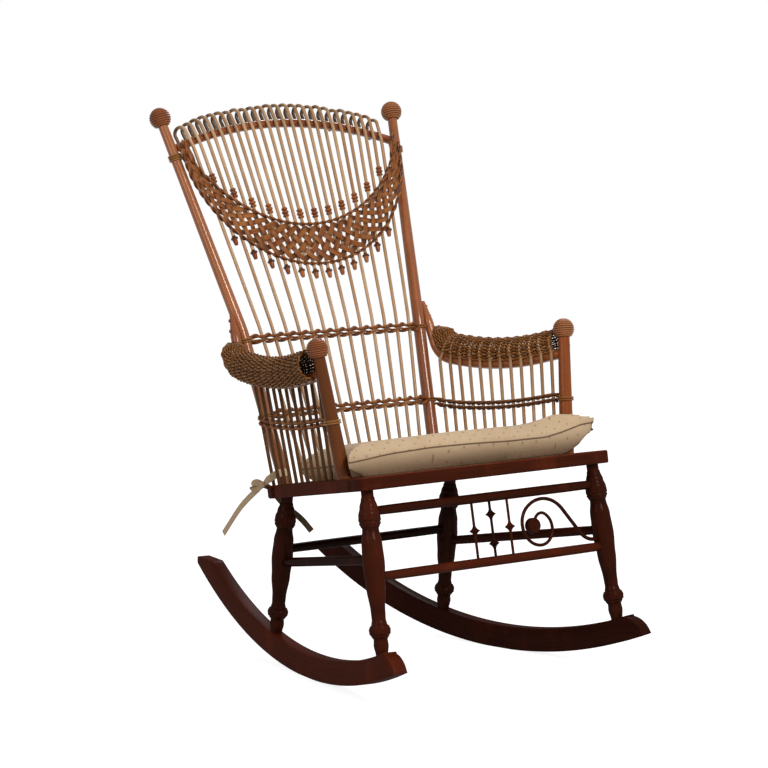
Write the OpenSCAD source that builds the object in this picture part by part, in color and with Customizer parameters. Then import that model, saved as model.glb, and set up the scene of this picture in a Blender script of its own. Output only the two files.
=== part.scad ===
// Stick back rocking chair of turned wood, bent reed and woven fibre, with a tied seat cushion.
// Millimetres. Z is up, the sitter faces -Y, and the right hand pieces are on +X.
// Sizes along Y are taken from the line on which the rockers touch the floor, and the
// finished chair is then moved so that the origin lies under the middle of its length.

/* [Rockers] */
// Radius of the curved underside
rocker_radius = 925; // [800:5:1100]
// Height of the rocker board
rocker_height = 46; // [38:1:56]
// Thickness of the rocker board
rocker_thick = 28; // [24:1:36]
// Length of the rocker behind the floor contact
rocker_rear = 494; // [440:2:520]
// Length of the rocker in front of the floor contact
rocker_front = 364; // [340:2:400]
// Angle by which each rocker turns in towards the back
rocker_toe = 10.15; // [6:0.05:14]
// Distance from the middle of the chair to a rocker at the floor contact
rocker_x = 236; // [220:1:260]
// Height of the blunt rear end
rocker_tail = 15; // [10:1:22]
// Length of the flat that wear has left under the rocker
rocker_wear = 64; // [40:1:70]

/* [Legs] */
// Distance of the front legs in front of the floor contact, at the rocker
front_foot_y = 283; // [270:1:295]
// Distance of the rear legs behind the floor contact, at the rocker
rear_foot_y = 154; // [140:1:165]
// Sideways place of a front leg under the seat
front_leg_x = 274; // [268:1:278]
// Place of the front legs under the seat, from its front edge
front_leg_v = 26; // [24:1:30]
// Sideways place of a rear leg under the seat
rear_leg_x = 202; // [196:1:206]
// Place of the rear legs under the seat, from its rear edge
rear_leg_setback = 46; // [42:1:52]
// Greatest radius of a leg's turning
leg_r = 21; // [18:0.5:23]
// Radius of the turned foot and of the waist at the top
leg_neck_r = 11.5; // [10.5:0.1:12.5]
// Radius of the round tenons on a leg
leg_tenon_r = 8; // [6.5:0.1:8.5]
// Length of the round tenons on a leg
leg_tenon = 15; // [12:0.5:15.5]

/* [Stretchers] */
// Radius of the stretchers
stretcher_r = 9; // [7.5:0.1:10]
// Radius of a stretcher's round tenon
stretcher_tenon_r = 6.5; // [5:0.1:7]
// Depth of a stretcher's tenon in its leg
stretcher_tenon = 13; // [9:0.5:15]
// Height of the upper front stretcher
front_upper_z = 351; // [346:1:356]
// Height of the lower front stretcher
front_lower_z = 233; // [228:1:238]
// Height of the rear stretcher
rear_z = 224; // [218:1:228]
// Height of a side stretcher at the front leg
side_front_z = 264; // [260:1:270]
// Height of a side stretcher at the rear leg
side_rear_z = 198; // [192:1:202]

/* [Fretwork] */
// Place of the first of the three small turned sticks
fret_x = -35; // [-45:1:-25]
// Distance between the small sticks
fret_step = 43; // [38:1:46]
// Radius of a small stick
fret_r = 2.6; // [2.2:0.1:3.2]
// Radius of the pointed discs on the small sticks
fret_disc_r = 11; // [8:0.5:12]
// Radius of the bent reed of the scroll
scroll_r = 3.5; // [3:0.1:4]
// Radius of the turned button in the eye of the scroll
boss_r = 15; // [12:0.5:16]

/* [Seat] */
// Thickness of the seat frame
seat_thick = 25; // [22:0.5:30]
// Half of the width at the front
seat_front_half = 303; // [300:1:310]
// Half of the width at the back
seat_rear_half = 230; // [226:1:236]
// Depth of the seat along its slope
seat_depth = 424; // [420:1:432]
// Slope of the seat down to the back
seat_slope = 10; // [8:0.25:12]
// Distance of the front edge in front of the floor contact
seat_front_y = 247; // [242:1:252]
// Height of the seat's underside at the front edge
seat_front_z = 393; // [385:1:400]
// Width of the front rail
front_rail_w = 56; // [50:1:60]
// Width of the rear rail
rear_rail_w = 62; // [58:1:66]
// Width of the side rails
side_rail_w = 58; // [52:1:62]
// Radius of the rear corners
rear_corner_r = 48; // [40:1:54]
// Length of the tongue at each end of a side rail
tongue = 18; // [14:1:19]
// Thickness of the cane sheet
cane_thick = 1.6; // [1.2:0.1:2.2]
// Width of the groove for the cane
groove_w = 5; // [4:0.5:6]
// Depth of the groove for the cane
groove_deep = 8; // [6:0.5:10]
// Width of the ledge between the opening and the groove
ledge_w = 9; // [7:0.5:12]

/* [Back] */
// Height at which the back posts are bent
bend_z = 640; // [630:1:655]
// Lean of the back below the bend
lower_lean = 18.9; // [17:0.1:20]
// Lean of the back above the bend
upper_lean = 23.4; // [22:0.1:25]
// Height of the balls over the top rail's crown, along the back
ball_rise = 17.5; // [14:0.5:24]
// Sideways place of a back post at the seat
post_seat_x = 187; // [182:1:190]
// Sideways place of a back post at the bend
post_bend_x = 218.5; // [214:0.5:222]
// Sideways place of a back post's ball
post_ball_x = 287; // [280:1:292]
// Place of the back posts on the seat, from its rear edge
post_setback = 25; // [21:1:28]
// Radius of a back post at the seat
post_base_r = 13; // [12:0.25:14]
// Radius of a back post at the bend
post_bend_r = 12; // [11:0.25:12.5]
// Radius of a back post under the ball
post_top_r = 9.5; // [8.5:0.25:10.5]
// Number of sticks on each side of the middle one
sticks_each_side = 12; // [12:2:12]
// Radius of the round reed sticks
stick_r = 3.5; // [3:0.1:3.8]
// Spacing of the sticks at the top rail
stick_step_top = 20; // [19:0.1:20.6]
// Spacing of the sticks at the bend
stick_step_bend = 15.3; // [14.5:0.1:16]
// Radius of the bent top rail
top_rail_r = 8.5; // [7.5:0.25:9]
// Distance of the top rail's crown above the bend, along the back
top_rail_v = 427; // [420:1:432]
// Radius to which the top rail is bent
top_rail_bend = 800; // [740:5:900]
// Width of a loop over the top rail
loop_width = 30; // [27:0.5:32]
// Distance from the top rail to the start of a loop's arch
loop_lift = 7; // [4:0.5:10]
// Length of a loop's tail behind the rail, below the start of the arch
loop_tail = 30; // [24:1:34]
// Depth of the sticks' holes in the seat
stick_hole = 12; // [8:0.5:16]

/* [Crescent] */
// Lowest point of the crescent's lower border, above the bend
crescent_low = 122; // [116:1:130]
// Lowest point of the crescent's upper border, above the bend
crescent_high = 205; // [196:1:214]
// Radius of the lower border's curve
crescent_low_r = 272; // [266:1:278]
// Radius of the upper border's curve
crescent_high_r = 289; // [284:1:296]
// Angle to which the lower border runs on each side
crescent_low_reach = 76; // [70:0.5:77]
// Angle to which the upper border runs on each side
crescent_high_reach = 65; // [60:0.5:66]
// Radius of the border ropes
border_r = 3.7; // [3:0.1:4.2]
// Width of the flat reeds
strip_w = 11; // [8:0.25:12]
// Thickness of the flat reeds
strip_thick = 1.2; // [0.9:0.1:1.5]
// Number of flat reeds in each direction
strip_count = 24; // [20:1:26]
// Distance of the beads above the crescent
bead_lift = 24; // [20:1:30]
// Radius of the middle bead
bead_r = 6; // [5:0.25:6.5]
// Distance from the crescent down to the acorn drops
acorn_fall = 20; // [16:1:26]
// Radius of an acorn's cap
acorn_r = 7; // [5.5:0.25:7.5]
// Height of an acorn drop
acorn_h = 20; // [16:1:24]

/* [Arms] */
// Sideways place of an arm post at the seat
arm_base_x = 272; // [268:1:274]
// Place of the arm posts behind the seat's front edge, along Y
arm_base_back = 97; // [92:1:102]
// Radius of an arm post at the seat
arm_base_r = 14; // [12:0.25:14.5]
// Radius of an arm post under the ball
arm_top_r = 11.5; // [10.5:0.25:12]
// Sideways place of an arm post's ball
arm_ball_x = 300; // [294:1:304]
// Distance of an arm post's ball in front of the floor contact
arm_ball_y = 105; // [100:1:112]
// Height of an arm post's ball
arm_ball_z = 640; // [630:1:650]
// Height of the arm rail at the arm post
arm_rail_z = 594; // [588:1:600]
// Radius of the bent arm rail
arm_rail_r = 10; // [9:0.25:10.5]
// Fall of the arm rail from the arm post
arm_rail_fall = 14.5; // [13:0.25:16]
// Angle between the arm rail and the middle of the chair, seen from above
arm_rail_toe = 8.9; // [8:0.1:9.8]
// Length of the arm rail's straight front part
arm_straight = 62; // [56:1:68]
// Radius of the long bend of the arm rail
arm_long_bend = 700; // [650:5:760]
// Turn of the long bend
arm_long_turn = 20; // [19:0.25:21]
// Radius of the bend that takes the arm rail up to the back post
arm_short_bend = 50; // [46:1:56]
// Turn of that bend
arm_short_turn = 62; // [60:0.5:64]
// Length of the arm rail's straight rising part
arm_rise = 45; // [40:1:50]
// Length of the tapered end that is nailed to the back post
arm_taper = 42; // [34:1:48]
// Number of sticks under each arm
arm_sticks = 12; // [9:1:12]
// First arm stick's place on the rail, from the arm post
arm_stick_first = 22; // [20:1:26]
// Last arm stick's place on the rail, from the arm post
arm_stick_last = 322; // [314:1:326]
// Radius of the woven roll, to the middle of its wall
roll_r = 27.5; // [25:0.5:28.5]
// Thickness of the woven wall
roll_wall = 3.5; // [2.5:0.25:4]
// Radius of the nail heads
nail_r = 3.2; // [2.5:0.1:4]

/* [Balls and weaving] */
// Outer radius of the reed wound balls
ball_r = 21.5; // [20:0.5:23]
// Number of turns of reed on a back post's ball
ball_turns = 10; // [7:1:10]
// Number of turns of reed on an arm post's ball
arm_ball_turns = 9; // [7:1:9]
// Radius of the reed on a ball
ball_reed_r = 1.9; // [1.5:0.05:1.95]
// Radius of the reed that is wound round the posts
wrap_reed_r = 1.9; // [1.4:0.05:2]
// Distance between the turns of that reed
wrap_pitch = 4.6; // [4.5:0.1:6]
// Radius of a twining strand
strand_r = 1.5; // [1.2:0.05:1.7]
// Distance between the two lines of a twining
twining_gap = 10; // [8:0.25:12]
// Height of the upper twining below the bend, along the back
upper_twining = 20; // [16:1:26]
// Height of the lower twining below the bend, along the back
lower_twining = 171; // [164:1:178]
// Height of the arm twining as a share of the arm sticks' length
arm_twining_share = 0.55; // [0.5:0.01:0.6]

/* [Cushion] */
// Thickness of the cushion at its crown
cushion_thick = 62; // [52:1:72]
// Distance of the cushion's rear edge from the seat's rear edge
cushion_setback = 49; // [43:1:57]
// Half of the cushion's width at the rear
cushion_rear_half = 184; // [176:1:188]
// Half of the cushion's width between the arm posts
cushion_waist_half = 250; // [244:1:253]
// Sideways place of the front ears
cushion_ear_x = 298; // [290:1:306]
// Distance of the left ear in front of the floor contact
cushion_left_ear_y = 196; // [190:1:206]
// Distance of the right ear in front of the floor contact
cushion_right_ear_y = 232; // [222:1:240]
// Width of the flat cloth ties
tie_width = 11; // [8:0.5:14]
// Thickness of the flat cloth ties
tie_thick = 2; // [1.5:0.1:3]

/* [Hidden] */
// Clearance of a tenon in its hole
fit = 0.15;
// Clearance that keeps soft and woven pieces off their neighbours
soft_gap = 0.3;
// Depth by which a leg's foot is let into the rocker
foot_sink = 3;
// Depth by which a post or stick is drilled past what stands in it
drill_past = 1;
far = 1000;
$fn = 48;

wood = "#5a2413";
dark_wood = "#3b1a10";
reed = "#9a5a2b";
woven = "#6b3b1c";
bead_wood = "#a8501e";
cane = "#b98a4e";
cloth = "#c8ac86";

// Placing

function unit(v) = v / norm(v);

// The chair's own place: its length is centred over the origin.
middle_y = (rocker_rear - rocker_front) / 2 * cos(rocker_toe);
module in_place() {
    translate([0, -middle_y, 0]) children();
}

// Stands the children's Z axis along the line from a to b, with their origin at a.
module along(a, b) {
    d = b - a;
    translate(a) rotate([0, acos(d.z / norm(d)), atan2(d.y, d.x)]) children();
}

// The seat frame's own place: x across, y back along the slope, z up from the underside.
module on_seat() {
    translate([0, -seat_front_y, seat_front_z]) rotate([-seat_slope, 0, 0]) children();
}

function seat_point(x, v, w) = [
    x,
    -seat_front_y + v * cos(seat_slope) + w * sin(seat_slope),
    seat_front_z - v * sin(seat_slope) + w * cos(seat_slope)
];

// How far along the seat a point lies whose world Y is y, at height w in the seat frame
function seat_v(y, w) = (y + seat_front_y - w * sin(seat_slope)) / cos(seat_slope);

// The posts stand before the seat's rear edge and carry their balls above the top rail.
post_seat_v = seat_depth - post_setback;
upper_length = top_rail_v + ball_rise;

// The back's two planes meet in the bend line: x across, y up the back, z out of its front.
post_base = seat_point(post_seat_x, post_seat_v, seat_thick);
bend_y = post_base.y + tan(lower_lean) * (bend_z - post_base.z);
lower_length = (bend_z - post_base.z) / cos(lower_lean);

module on_back(lean) {
    translate([0, bend_y, bend_z]) rotate([90 - lean, 0, 0]) children();
}

function back_point(lean, x, v, w) = [
    x,
    bend_y + v * sin(lean) - w * cos(lean),
    bend_z + v * cos(lean) + w * sin(lean)
];

function post_x(v) = v < 0
    ? post_bend_x + v * (post_bend_x - post_seat_x) / lower_length
    : post_bend_x + v * (post_ball_x - post_bend_x) / upper_length;

function post_radius(v) = v < 0
    ? post_bend_r - v * (post_base_r - post_bend_r) / lower_length
    : post_bend_r + v * (post_top_r - post_bend_r) / upper_length;

// Everything below or above one face of the seat frame
module below_seat() {
    on_seat() translate([-far, -far, -2 * far]) cube([2 * far, 2 * far, 2 * far]);
}

module above_seat() {
    on_seat() translate([-far, -far, seat_thick]) cube([2 * far, 2 * far, 2 * far]);
}

// Swept forms

// One polyhedron through rings of points; a closed ring has its last point joined to its first.
module through_rings(rings, strip_caps = false) {
    n = len(rings[0]);
    last = len(rings) - 1;
    points = [for (ring = rings) each ring];
    sides = [for (i = [0:last - 1], j = [0:n - 1]) each [
        [i * n + j, (i + 1) * n + j, i * n + (j + 1) % n],
        [i * n + (j + 1) % n, (i + 1) * n + j, (i + 1) * n + (j + 1) % n]
    ]];
    fan = [for (j = [1:n - 2]) each [[0, j, j + 1], [last * n, last * n + j + 1, last * n + j]]];
    strip = [for (j = [0:n / 2 - 2]) each [
        [j, j + 1, n - 1 - j],
        [j + 1, n - 2 - j, n - 1 - j],
        [last * n + j, last * n + n - 1 - j, last * n + j + 1],
        [last * n + j + 1, last * n + n - 1 - j, last * n + n - 2 - j]
    ]];
    polyhedron(points, concat(sides, strip_caps ? strip : fan), convexity = 6);
}

function heading(path, i) = unit(path[min(i + 1, len(path) - 1)] - path[max(i - 1, 0)]);

// Rings of a round or flat rod along a path; across sets which way its width lies.
function rod_rings(path, half_w, half_t, sides, across) = [
    for (i = [0:len(path) - 1])
        let (t = heading(path, i), b = unit(cross(t, across)), a = cross(b, t))
            [for (j = [0:sides - 1])
                let (q = 360 * (j + 0.5) / sides)
                    path[i] + a * half_w * cos(q) + b * half_t * sin(q)]
];

// Bent rods of true arcs. A step is [length, 0] for a straight part, or [radius, turn].
function step_length(s) = s[1] == 0 ? s[0] : s[0] * abs(s[1]) * PI / 180;

// Where the given share of a step ends, seen from its start
function step_end(s, share = 1) = s[1] == 0
    ? [s[0] * share, 0]
    : [s[0] * sin(abs(s[1]) * share), sign(s[1]) * s[0] * (1 - cos(s[1] * share))];

// Every second step is a hair thinner and laps into its neighbours, so that they join soundly.
lap = 0.3;
lap_step = 0.1;
module rod_step(steps, i, r) {
    s = steps[i];
    thin = i % 2 == 0;
    over = thin ? lap : 0;
    tube = thin ? r - lap_step : r;
    pose = walk(steps, length_before(steps, i));
    translate([pose[0], pose[1], 0]) rotate([0, 0, pose[2]])
        if (s[1] == 0) {
            translate([-over, 0, 0]) rotate([0, 90, 0]) cylinder(h = s[0] + 2 * over, r = tube);
        } else {
            extra = over / s[0] * 180 / PI;
            mirror([0, s[1] < 0 ? 1 : 0, 0])
                translate([0, s[0], 0])
                    rotate([0, 0, -90 - extra])
                        rotate_extrude(angle = abs(s[1]) + 2 * extra) translate([s[0], 0]) circle(tube);
        }
}

function length_before(steps, i) = i == 0 ? 0 : length_before(steps, i - 1) + step_length(steps[i - 1]);

module bent_rod(steps, r) {
    for (i = [0:len(steps) - 1]) rod_step(steps, i, r);
}

// Place and heading [x, y, angle] at a distance d along such a rod
function walk(steps, d, i = 0, x = 0, y = 0, h = 0) =
    let (s = steps[i], full = step_length(s))
    (d > full && i < len(steps) - 1)
        ? let (e = step_end(s))
            walk(steps, d - full, i + 1, x + e[0] * cos(h) - e[1] * sin(h),
                y + e[0] * sin(h) + e[1] * cos(h), h + s[1])
        : let (e = step_end(s, d / full))
            [x + e[0] * cos(h) - e[1] * sin(h), y + e[0] * sin(h) + e[1] * cos(h), h + s[1] * d / full];

// How far from a corner its elbow starts
function elbow_reach(before, corner, after, bend) =
    bend * tan(acos(unit(corner - before) * unit(after - corner)) / 2);

// The round bend in a rod that runs from before over corner to after
module elbow(before, corner, after, r, bend) {
    u = unit(corner - before);
    v = unit(after - corner);
    n = unit(cross(u, v));
    w = cross(n, u);
    turn = acos(u * v);
    extra = lap / bend * 180 / PI;
    start = corner - u * elbow_reach(before, corner, after, bend);
    multmatrix([[u.x, w.x, n.x, start.x], [u.y, w.y, n.y, start.y], [u.z, w.z, n.z, start.z]])
        translate([0, bend, 0]) rotate([0, 0, -90 - extra])
            rotate_extrude(angle = turn + 2 * extra) translate([bend, 0]) circle(r - lap_step);
}

// A winding: one unbroken tube of reed round an axis, its rings from a rule for radius and height
wind_sides = 5;
wind_steps = 12;

function wind_path(turns, radius, height) = [
    for (i = [0:turns * wind_steps])
        let (q = i * 360 / wind_steps)
            [radius(i / (turns * wind_steps)) * cos(q), radius(i / (turns * wind_steps)) * sin(q),
                height(i / (turns * wind_steps))]
];

// The least distance between neighbouring turns, less the reed's own thickness
function wind_gap(path, r) = min([
    for (i = [0:len(path) - 1 - wind_steps]) norm(path[i + wind_steps] - path[i])
]) - 2 * r;

module winding(path, r) {
    through_rings(rod_rings(path, r, r, wind_sides, [0, 0, 1]));
}

// Rockers

rocker_inner = rocker_radius - rocker_height;
function arc_height(radius, s) = rocker_radius - sqrt(radius * radius - s * s);
function rocker_top(y) = arc_height(rocker_inner, y / cos(rocker_toe));
function rocker_place(y) = rocker_x - y * tan(rocker_toe);

wear_height = arc_height(rocker_radius, rocker_wear / 2);
rear_tip_z = arc_height(rocker_radius, rocker_rear);

// The board's outline: s along the rocker, z up
module rocker_outline() {
    nose = rocker_front - rocker_height;
    difference() {
        intersection() {
            translate([0, rocker_radius]) circle(rocker_radius);
            translate([-rocker_front, wear_height])
                square([rocker_front + rocker_rear, rear_tip_z + rocker_tail - wear_height]);
        }
        translate([0, rocker_radius]) circle(rocker_inner);
        difference() {
            translate([-rocker_front - 1, 0]) square([rocker_height + 1, far]);
            translate([-nose, arc_height(rocker_radius, nose)]) circle(rocker_height);
        }
    }
}

module rocker_board() {
    translate([rocker_x, 0, -wear_height])
        rotate([0, 0, 90 + rocker_toe])
            rotate([90, 0, 0])
                translate([0, 0, -rocker_thick / 2])
                    linear_extrude(rocker_thick) rocker_outline();
}

// Legs: the foot stands on the rocker's curved top and the shoulder meets the seat's underside

function foot(y) = [rocker_place(y), y, rocker_top(y) - wear_height];
front_foot = foot(-front_foot_y);
rear_foot = foot(rear_foot_y);
front_head = seat_point(front_leg_x, front_leg_v, 0);
rear_head = seat_point(rear_leg_x, seat_depth - rear_leg_setback, 0);

function on_leg(foot, head, z) = foot + (head - foot) * (z - foot.z) / (head.z - foot.z);
function front_leg_at(z) = on_leg(front_foot, front_head, z);
function rear_leg_at(z) = on_leg(rear_foot, rear_head, z);

// Turning marks: a share of the leg's length from the foot, and a share of the greatest radius
leg_marks = [
    [0.00, 0.54], [0.06, 0.66], [0.095, 0.62], [0.115, 0.78], [0.13, 0.93], [0.155, 0.96],
    [0.175, 0.86], [0.185, 0.70], [0.215, 0.62], [0.26, 0.64], [0.42, 0.86], [0.56, 0.99],
    [0.68, 0.92], [0.77, 0.74], [0.785, 0.86], [0.80, 0.97], [0.81, 0.93], [0.82, 1.00],
    [0.85, 0.97], [0.90, 0.80], [0.95, 0.62], [0.965, 0.55], [1.00, 0.55]
];

// Eases between two marks, so that the turning flows
ease_steps = 3;
function eased(marks) = concat([
    for (i = [0:len(marks) - 2], k = [0:ease_steps - 1])
        let (t = k / ease_steps, e = (1 - cos(180 * t)) / 2)
            [marks[i][0] + (marks[i + 1][0] - marks[i][0]) * t,
                marks[i][1] + (marks[i + 1][1] - marks[i][1]) * e]
], [marks[len(marks) - 1]]);

module turned_leg(foot, head) {
    length = norm(head - foot);
    over = 4;
    profile = concat(
        [[0, -foot_sink], [leg_marks[0][1] * leg_r, -foot_sink]],
        [for (p = eased(leg_marks)) [p[1] * leg_r, p[0] * length]],
        [[leg_neck_r, length + over], [0, length + over]]
    );
    intersection() {
        along(foot, head) rotate_extrude() polygon(profile);
        below_seat();
    }
    along(foot, head) translate([0, 0, -leg_tenon]) cylinder(h = leg_tenon, r = leg_tenon_r);
    along(foot, head) translate([0, 0, length - 1]) cylinder(h = leg_tenon + 1, r = leg_tenon_r);
}

// What a leg's two ends need in the rocker and the seat
module leg_sockets(foot, head) {
    length = norm(head - foot);
    along(foot, head) translate([0, 0, -leg_tenon - drill_past])
        cylinder(h = far / 10, r = leg_tenon_r + fit);
    along(foot, head) translate([0, 0, -foot_sink])
        cylinder(h = 2 * foot_sink, r = leg_marks[0][1] * leg_r + fit);
    along(foot, head) translate([0, 0, length - leg_tenon])
        cylinder(h = 2 * leg_tenon + drill_past, r = leg_tenon_r + fit);
}

module right_rocker_shape() {
    difference() {
        rocker_board();
        leg_sockets(front_foot, front_head);
        leg_sockets(rear_foot, rear_head);
    }
}

// Stretchers run from leg axis to leg axis, with a tenon at each end

function flip(p) = [-p.x, p.y, p.z];

module stretcher(a, b, leg_face) {
    length = norm(b - a);
    along(a, b) translate([0, 0, leg_face]) cylinder(h = length - 2 * leg_face, r = stretcher_r);
    along(a, b) translate([0, 0, leg_face - stretcher_tenon])
        cylinder(h = length - 2 * leg_face + 2 * stretcher_tenon, r = stretcher_tenon_r);
}

module stretcher_socket(a, b, leg_face) {
    along(a, b) translate([0, 0, leg_face - stretcher_tenon - drill_past])
        cylinder(h = far / 20, r = stretcher_tenon_r + fit);
}

// Distance from a leg's axis at which each stretcher's shoulder meets the turning
upper_face = leg_r * 0.95;
lower_face = leg_r * 0.93;
side_face = leg_r * 0.97;
rear_face = leg_r * 0.95;
rear_side_face = leg_r * 0.9;

fu_right = front_leg_at(front_upper_z);
fl_right = front_leg_at(front_lower_z);
rs_right = rear_leg_at(rear_z);
side_front = front_leg_at(side_front_z);
side_rear = rear_leg_at(side_rear_z);

module front_leg_shape() {
    difference() {
        turned_leg(front_foot, front_head);
        stretcher_socket(fu_right, flip(fu_right), upper_face);
        stretcher_socket(fl_right, flip(fl_right), lower_face);
        stretcher_socket(side_front, side_rear, side_face);
    }
}

module rear_leg_shape() {
    difference() {
        turned_leg(rear_foot, rear_head);
        stretcher_socket(rs_right, flip(rs_right), rear_face);
        stretcher_socket(side_rear, side_front, rear_side_face);
    }
}

// Fretwork between the two front stretchers

fret_bottom = fl_right.z + stretcher_r;
fret_top = fu_right.z - stretcher_r;
fret_middle_z = (fl_right.z + fu_right.z) / 2;

// The fretwork's plane: x along the stretchers, y up, from the middle of the gap
fret_rake = atan2(fu_right.y - fl_right.y, fu_right.z - fl_right.z);
fret_half = norm([fu_right.y - fl_right.y, fu_right.z - fl_right.z]) / 2;
module on_fret() {
    translate([0, (fu_right.y + fl_right.y) / 2, fret_middle_z])
        rotate([90 - fret_rake, 0, 0])
            children();
}

// A small stick with pointed discs, each flaring out of the stick in a hollow curve
module fret_stick(x, discs) {
    reach = fret_half - stretcher_r + 4;
    flare = 11;
    flare_steps = 6;
    on_fret() translate([x, 0, 0]) rotate([-90, 0, 0]) {
        translate([0, 0, -reach]) cylinder(h = 2 * reach, r = fret_r);
        for (d = discs)
            translate([0, 0, d * fret_half])
                rotate_extrude()
                    polygon(concat([[0, -flare]],
                        [for (k = [-flare_steps:flare_steps])
                            let (t = 1 - abs(k) / flare_steps)
                                [fret_r + (fret_disc_r - fret_r) * pow(t, 2.2), flare * k / flare_steps]],
                        [[0, flare]]));
    }
}

module fret_holes(extra) {
    for (k = [0:2])
        on_fret() translate([fret_x + k * fret_step, 0, 0]) rotate([-90, 0, 0])
            cylinder(h = 2 * (fret_half - stretcher_r + 4 + extra), r = fret_r + fit, center = true);
}

// The scroll: a bent reed that leaves the leg, rises over and winds into the button
scroll_steps = [[42.7, -67], [60.9, 0], [61.6, 91.5], [41.6, 139.5], [31.6, 150], [17, 118]];
scroll_heading = 194.2;
scroll_start = [266, -43.5];
boss_place = [107, -4];

module on_scroll() {
    on_fret() translate(scroll_start) rotate([0, 0, scroll_heading]) children();
}

// The turned button: a rim, a hollow and a raised middle on both faces
boss_half = 10;
boss_marks = [[0, 1], [0.25, 0.97], [0.4, 0.72], [0.55, 0.66], [0.7, 0.8], [0.88, 0.76], [1, 0.45]];
module scroll_boss_shape() {
    outline = [for (m = eased(boss_marks)) [m[0] * boss_r, m[1] * boss_half]];
    back = [for (i = [len(outline) - 1:-1:0]) [outline[i][0], -outline[i][1]]];
    difference() {
        on_fret() translate(boss_place) rotate_extrude() polygon(concat(outline, back));
        on_scroll() rod_step(scroll_steps, len(scroll_steps) - 1, scroll_r + fit);
    }
}

// Seat frame

side_slant = (seat_front_half - seat_rear_half) / seat_depth;
function side_edge(v) = seat_front_half - side_slant * v;
slant_angle = atan(side_slant);

// Centre of a rear corner's rounding, which touches the side and the rear edge
corner_v = seat_depth - rear_corner_r;
corner_x = side_edge(corner_v) - rear_corner_r / cos(slant_angle);

// A four sided ring or plate inside the seat's outline, measured in from the edges
function inner_outline(front, rear, side) = [
    [side_edge(front) - side / cos(slant_angle), front],
    [side_edge(seat_depth - rear) - side / cos(slant_angle), seat_depth - rear],
    [-side_edge(seat_depth - rear) + side / cos(slant_angle), seat_depth - rear],
    [-side_edge(front) + side / cos(slant_angle), front]
];

module inner_plate(grow) {
    polygon(inner_outline(front_rail_w - grow, rear_rail_w - grow, side_rail_w - grow));
}

module inner_ring(outer, inner) {
    difference() {
        inner_plate(outer);
        inner_plate(inner);
    }
}

// The ledge and groove that the cane sheet lies in
module cane_bed() {
    on_seat() translate([0, 0, seat_thick - cane_thick])
        linear_extrude(far) inner_plate(ledge_w + groove_w);
    on_seat() translate([0, 0, seat_thick - groove_deep])
        linear_extrude(far) inner_ring(ledge_w + groove_w, ledge_w);
}

// What stands in the seat frame: legs, posts and sticks, each side alike
module seat_drilling() {
    for (side = [0, 1]) mirror([side, 0, 0]) {
        leg_sockets(front_foot, front_head);
        leg_sockets(rear_foot, rear_head);
        back_post_foot(fit, drill_past);
        arm_post_foot(fit, drill_past);
        arm_stick_set(stick_r + fit, true);
    }
    back_stick_feet(stick_r + fit, drill_past);
}

module front_rail_shape() {
    difference() {
        on_seat() linear_extrude(seat_thick)
            polygon([[side_edge(0), 0], [side_edge(front_rail_w), front_rail_w],
                [-side_edge(front_rail_w), front_rail_w], [-side_edge(0), 0]]);
        rail_tongues(fit);
        cane_bed();
        seat_drilling();
    }
}

// Everything but the sharp rear corners; the round is cut a little outside the tangent circle
corner_ease = 0.3;
module rounded_rear(start) {
    past = 1.3 * rear_corner_r;
    touch = past * [cos(slant_angle), sin(slant_angle)];
    for (side = [0, 1]) mirror([side, 0, 0]) {
        polygon([[-1, start - 1], [side_edge(start) + past, start - 1],
            [corner_x, corner_v] + touch, [corner_x, corner_v], [corner_x, corner_v + past],
            [-1, corner_v + past]]);
        translate([corner_x, corner_v]) circle(rear_corner_r + corner_ease);
    }
}

module rear_rail_shape() {
    start = seat_depth - rear_rail_w;
    difference() {
        on_seat() linear_extrude(seat_thick) intersection() {
            polygon([[side_edge(start), start], [side_edge(seat_depth), seat_depth],
                [-side_edge(seat_depth), seat_depth], [-side_edge(start), start]]);
            rounded_rear(start);
        }
        rail_tongues(fit);
        cane_bed();
        seat_drilling();
    }
}

// The tongues of both side rails, in the middle of the frame's thickness
tongue_thick = seat_thick / 3;
tongue_inset = 9;
tongue_outer = 24;
module rail_tongues(extra) {
    a = front_rail_w - tongue - extra;
    b = seat_depth - rear_rail_w + tongue + extra;
    for (s = [-1, 1])
        on_seat() translate([0, 0, seat_thick / 3 - extra - 1.5])
            linear_extrude(tongue_thick + 2 * extra)
                polygon([
                    [s * (side_edge(a) - side_rail_w + tongue_inset - extra), a],
                    [s * (side_edge(b) - side_rail_w + tongue_inset - extra), b],
                    [s * (side_edge(b) - tongue_outer + extra), b],
                    [s * (side_edge(a) - tongue_outer + extra), a]]);
}

module side_rail_shape() {
    a = front_rail_w;
    b = seat_depth - rear_rail_w;
    difference() {
        union() {
            on_seat() linear_extrude(seat_thick)
                polygon([[side_edge(a), a], [side_edge(b), b],
                    [side_edge(b) - side_rail_w / cos(slant_angle), b],
                    [side_edge(a) - side_rail_w / cos(slant_angle), a]]);
            intersection() {
                rail_tongues(0);
                translate([0, -far, 0]) cube(2 * far);
            }
        }
        cane_bed();
        seat_drilling();
    }
}

module cane_sheet_shape() {
    on_seat() translate([0, 0, seat_thick - cane_thick]) linear_extrude(cane_thick)
        inner_plate(ledge_w - fit);
}

module cane_spline_shape() {
    on_seat() translate([0, 0, seat_thick - groove_deep + fit]) linear_extrude(groove_deep - fit)
        inner_ring(ledge_w + groove_w - fit, ledge_w + fit);
}

// Back posts, each a lower and an upper taper that meet in the bend

post_tenon_r = 8.5;
post_tenon = 18;
ball_tenon_r = 6;
ball_tenon = 10;
// Radius of the bend in a back post, to its middle line
post_bend = 220;
// Distance from a ball's middle to the flat that the post's end touches
ball_seat = 14.5;

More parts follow.
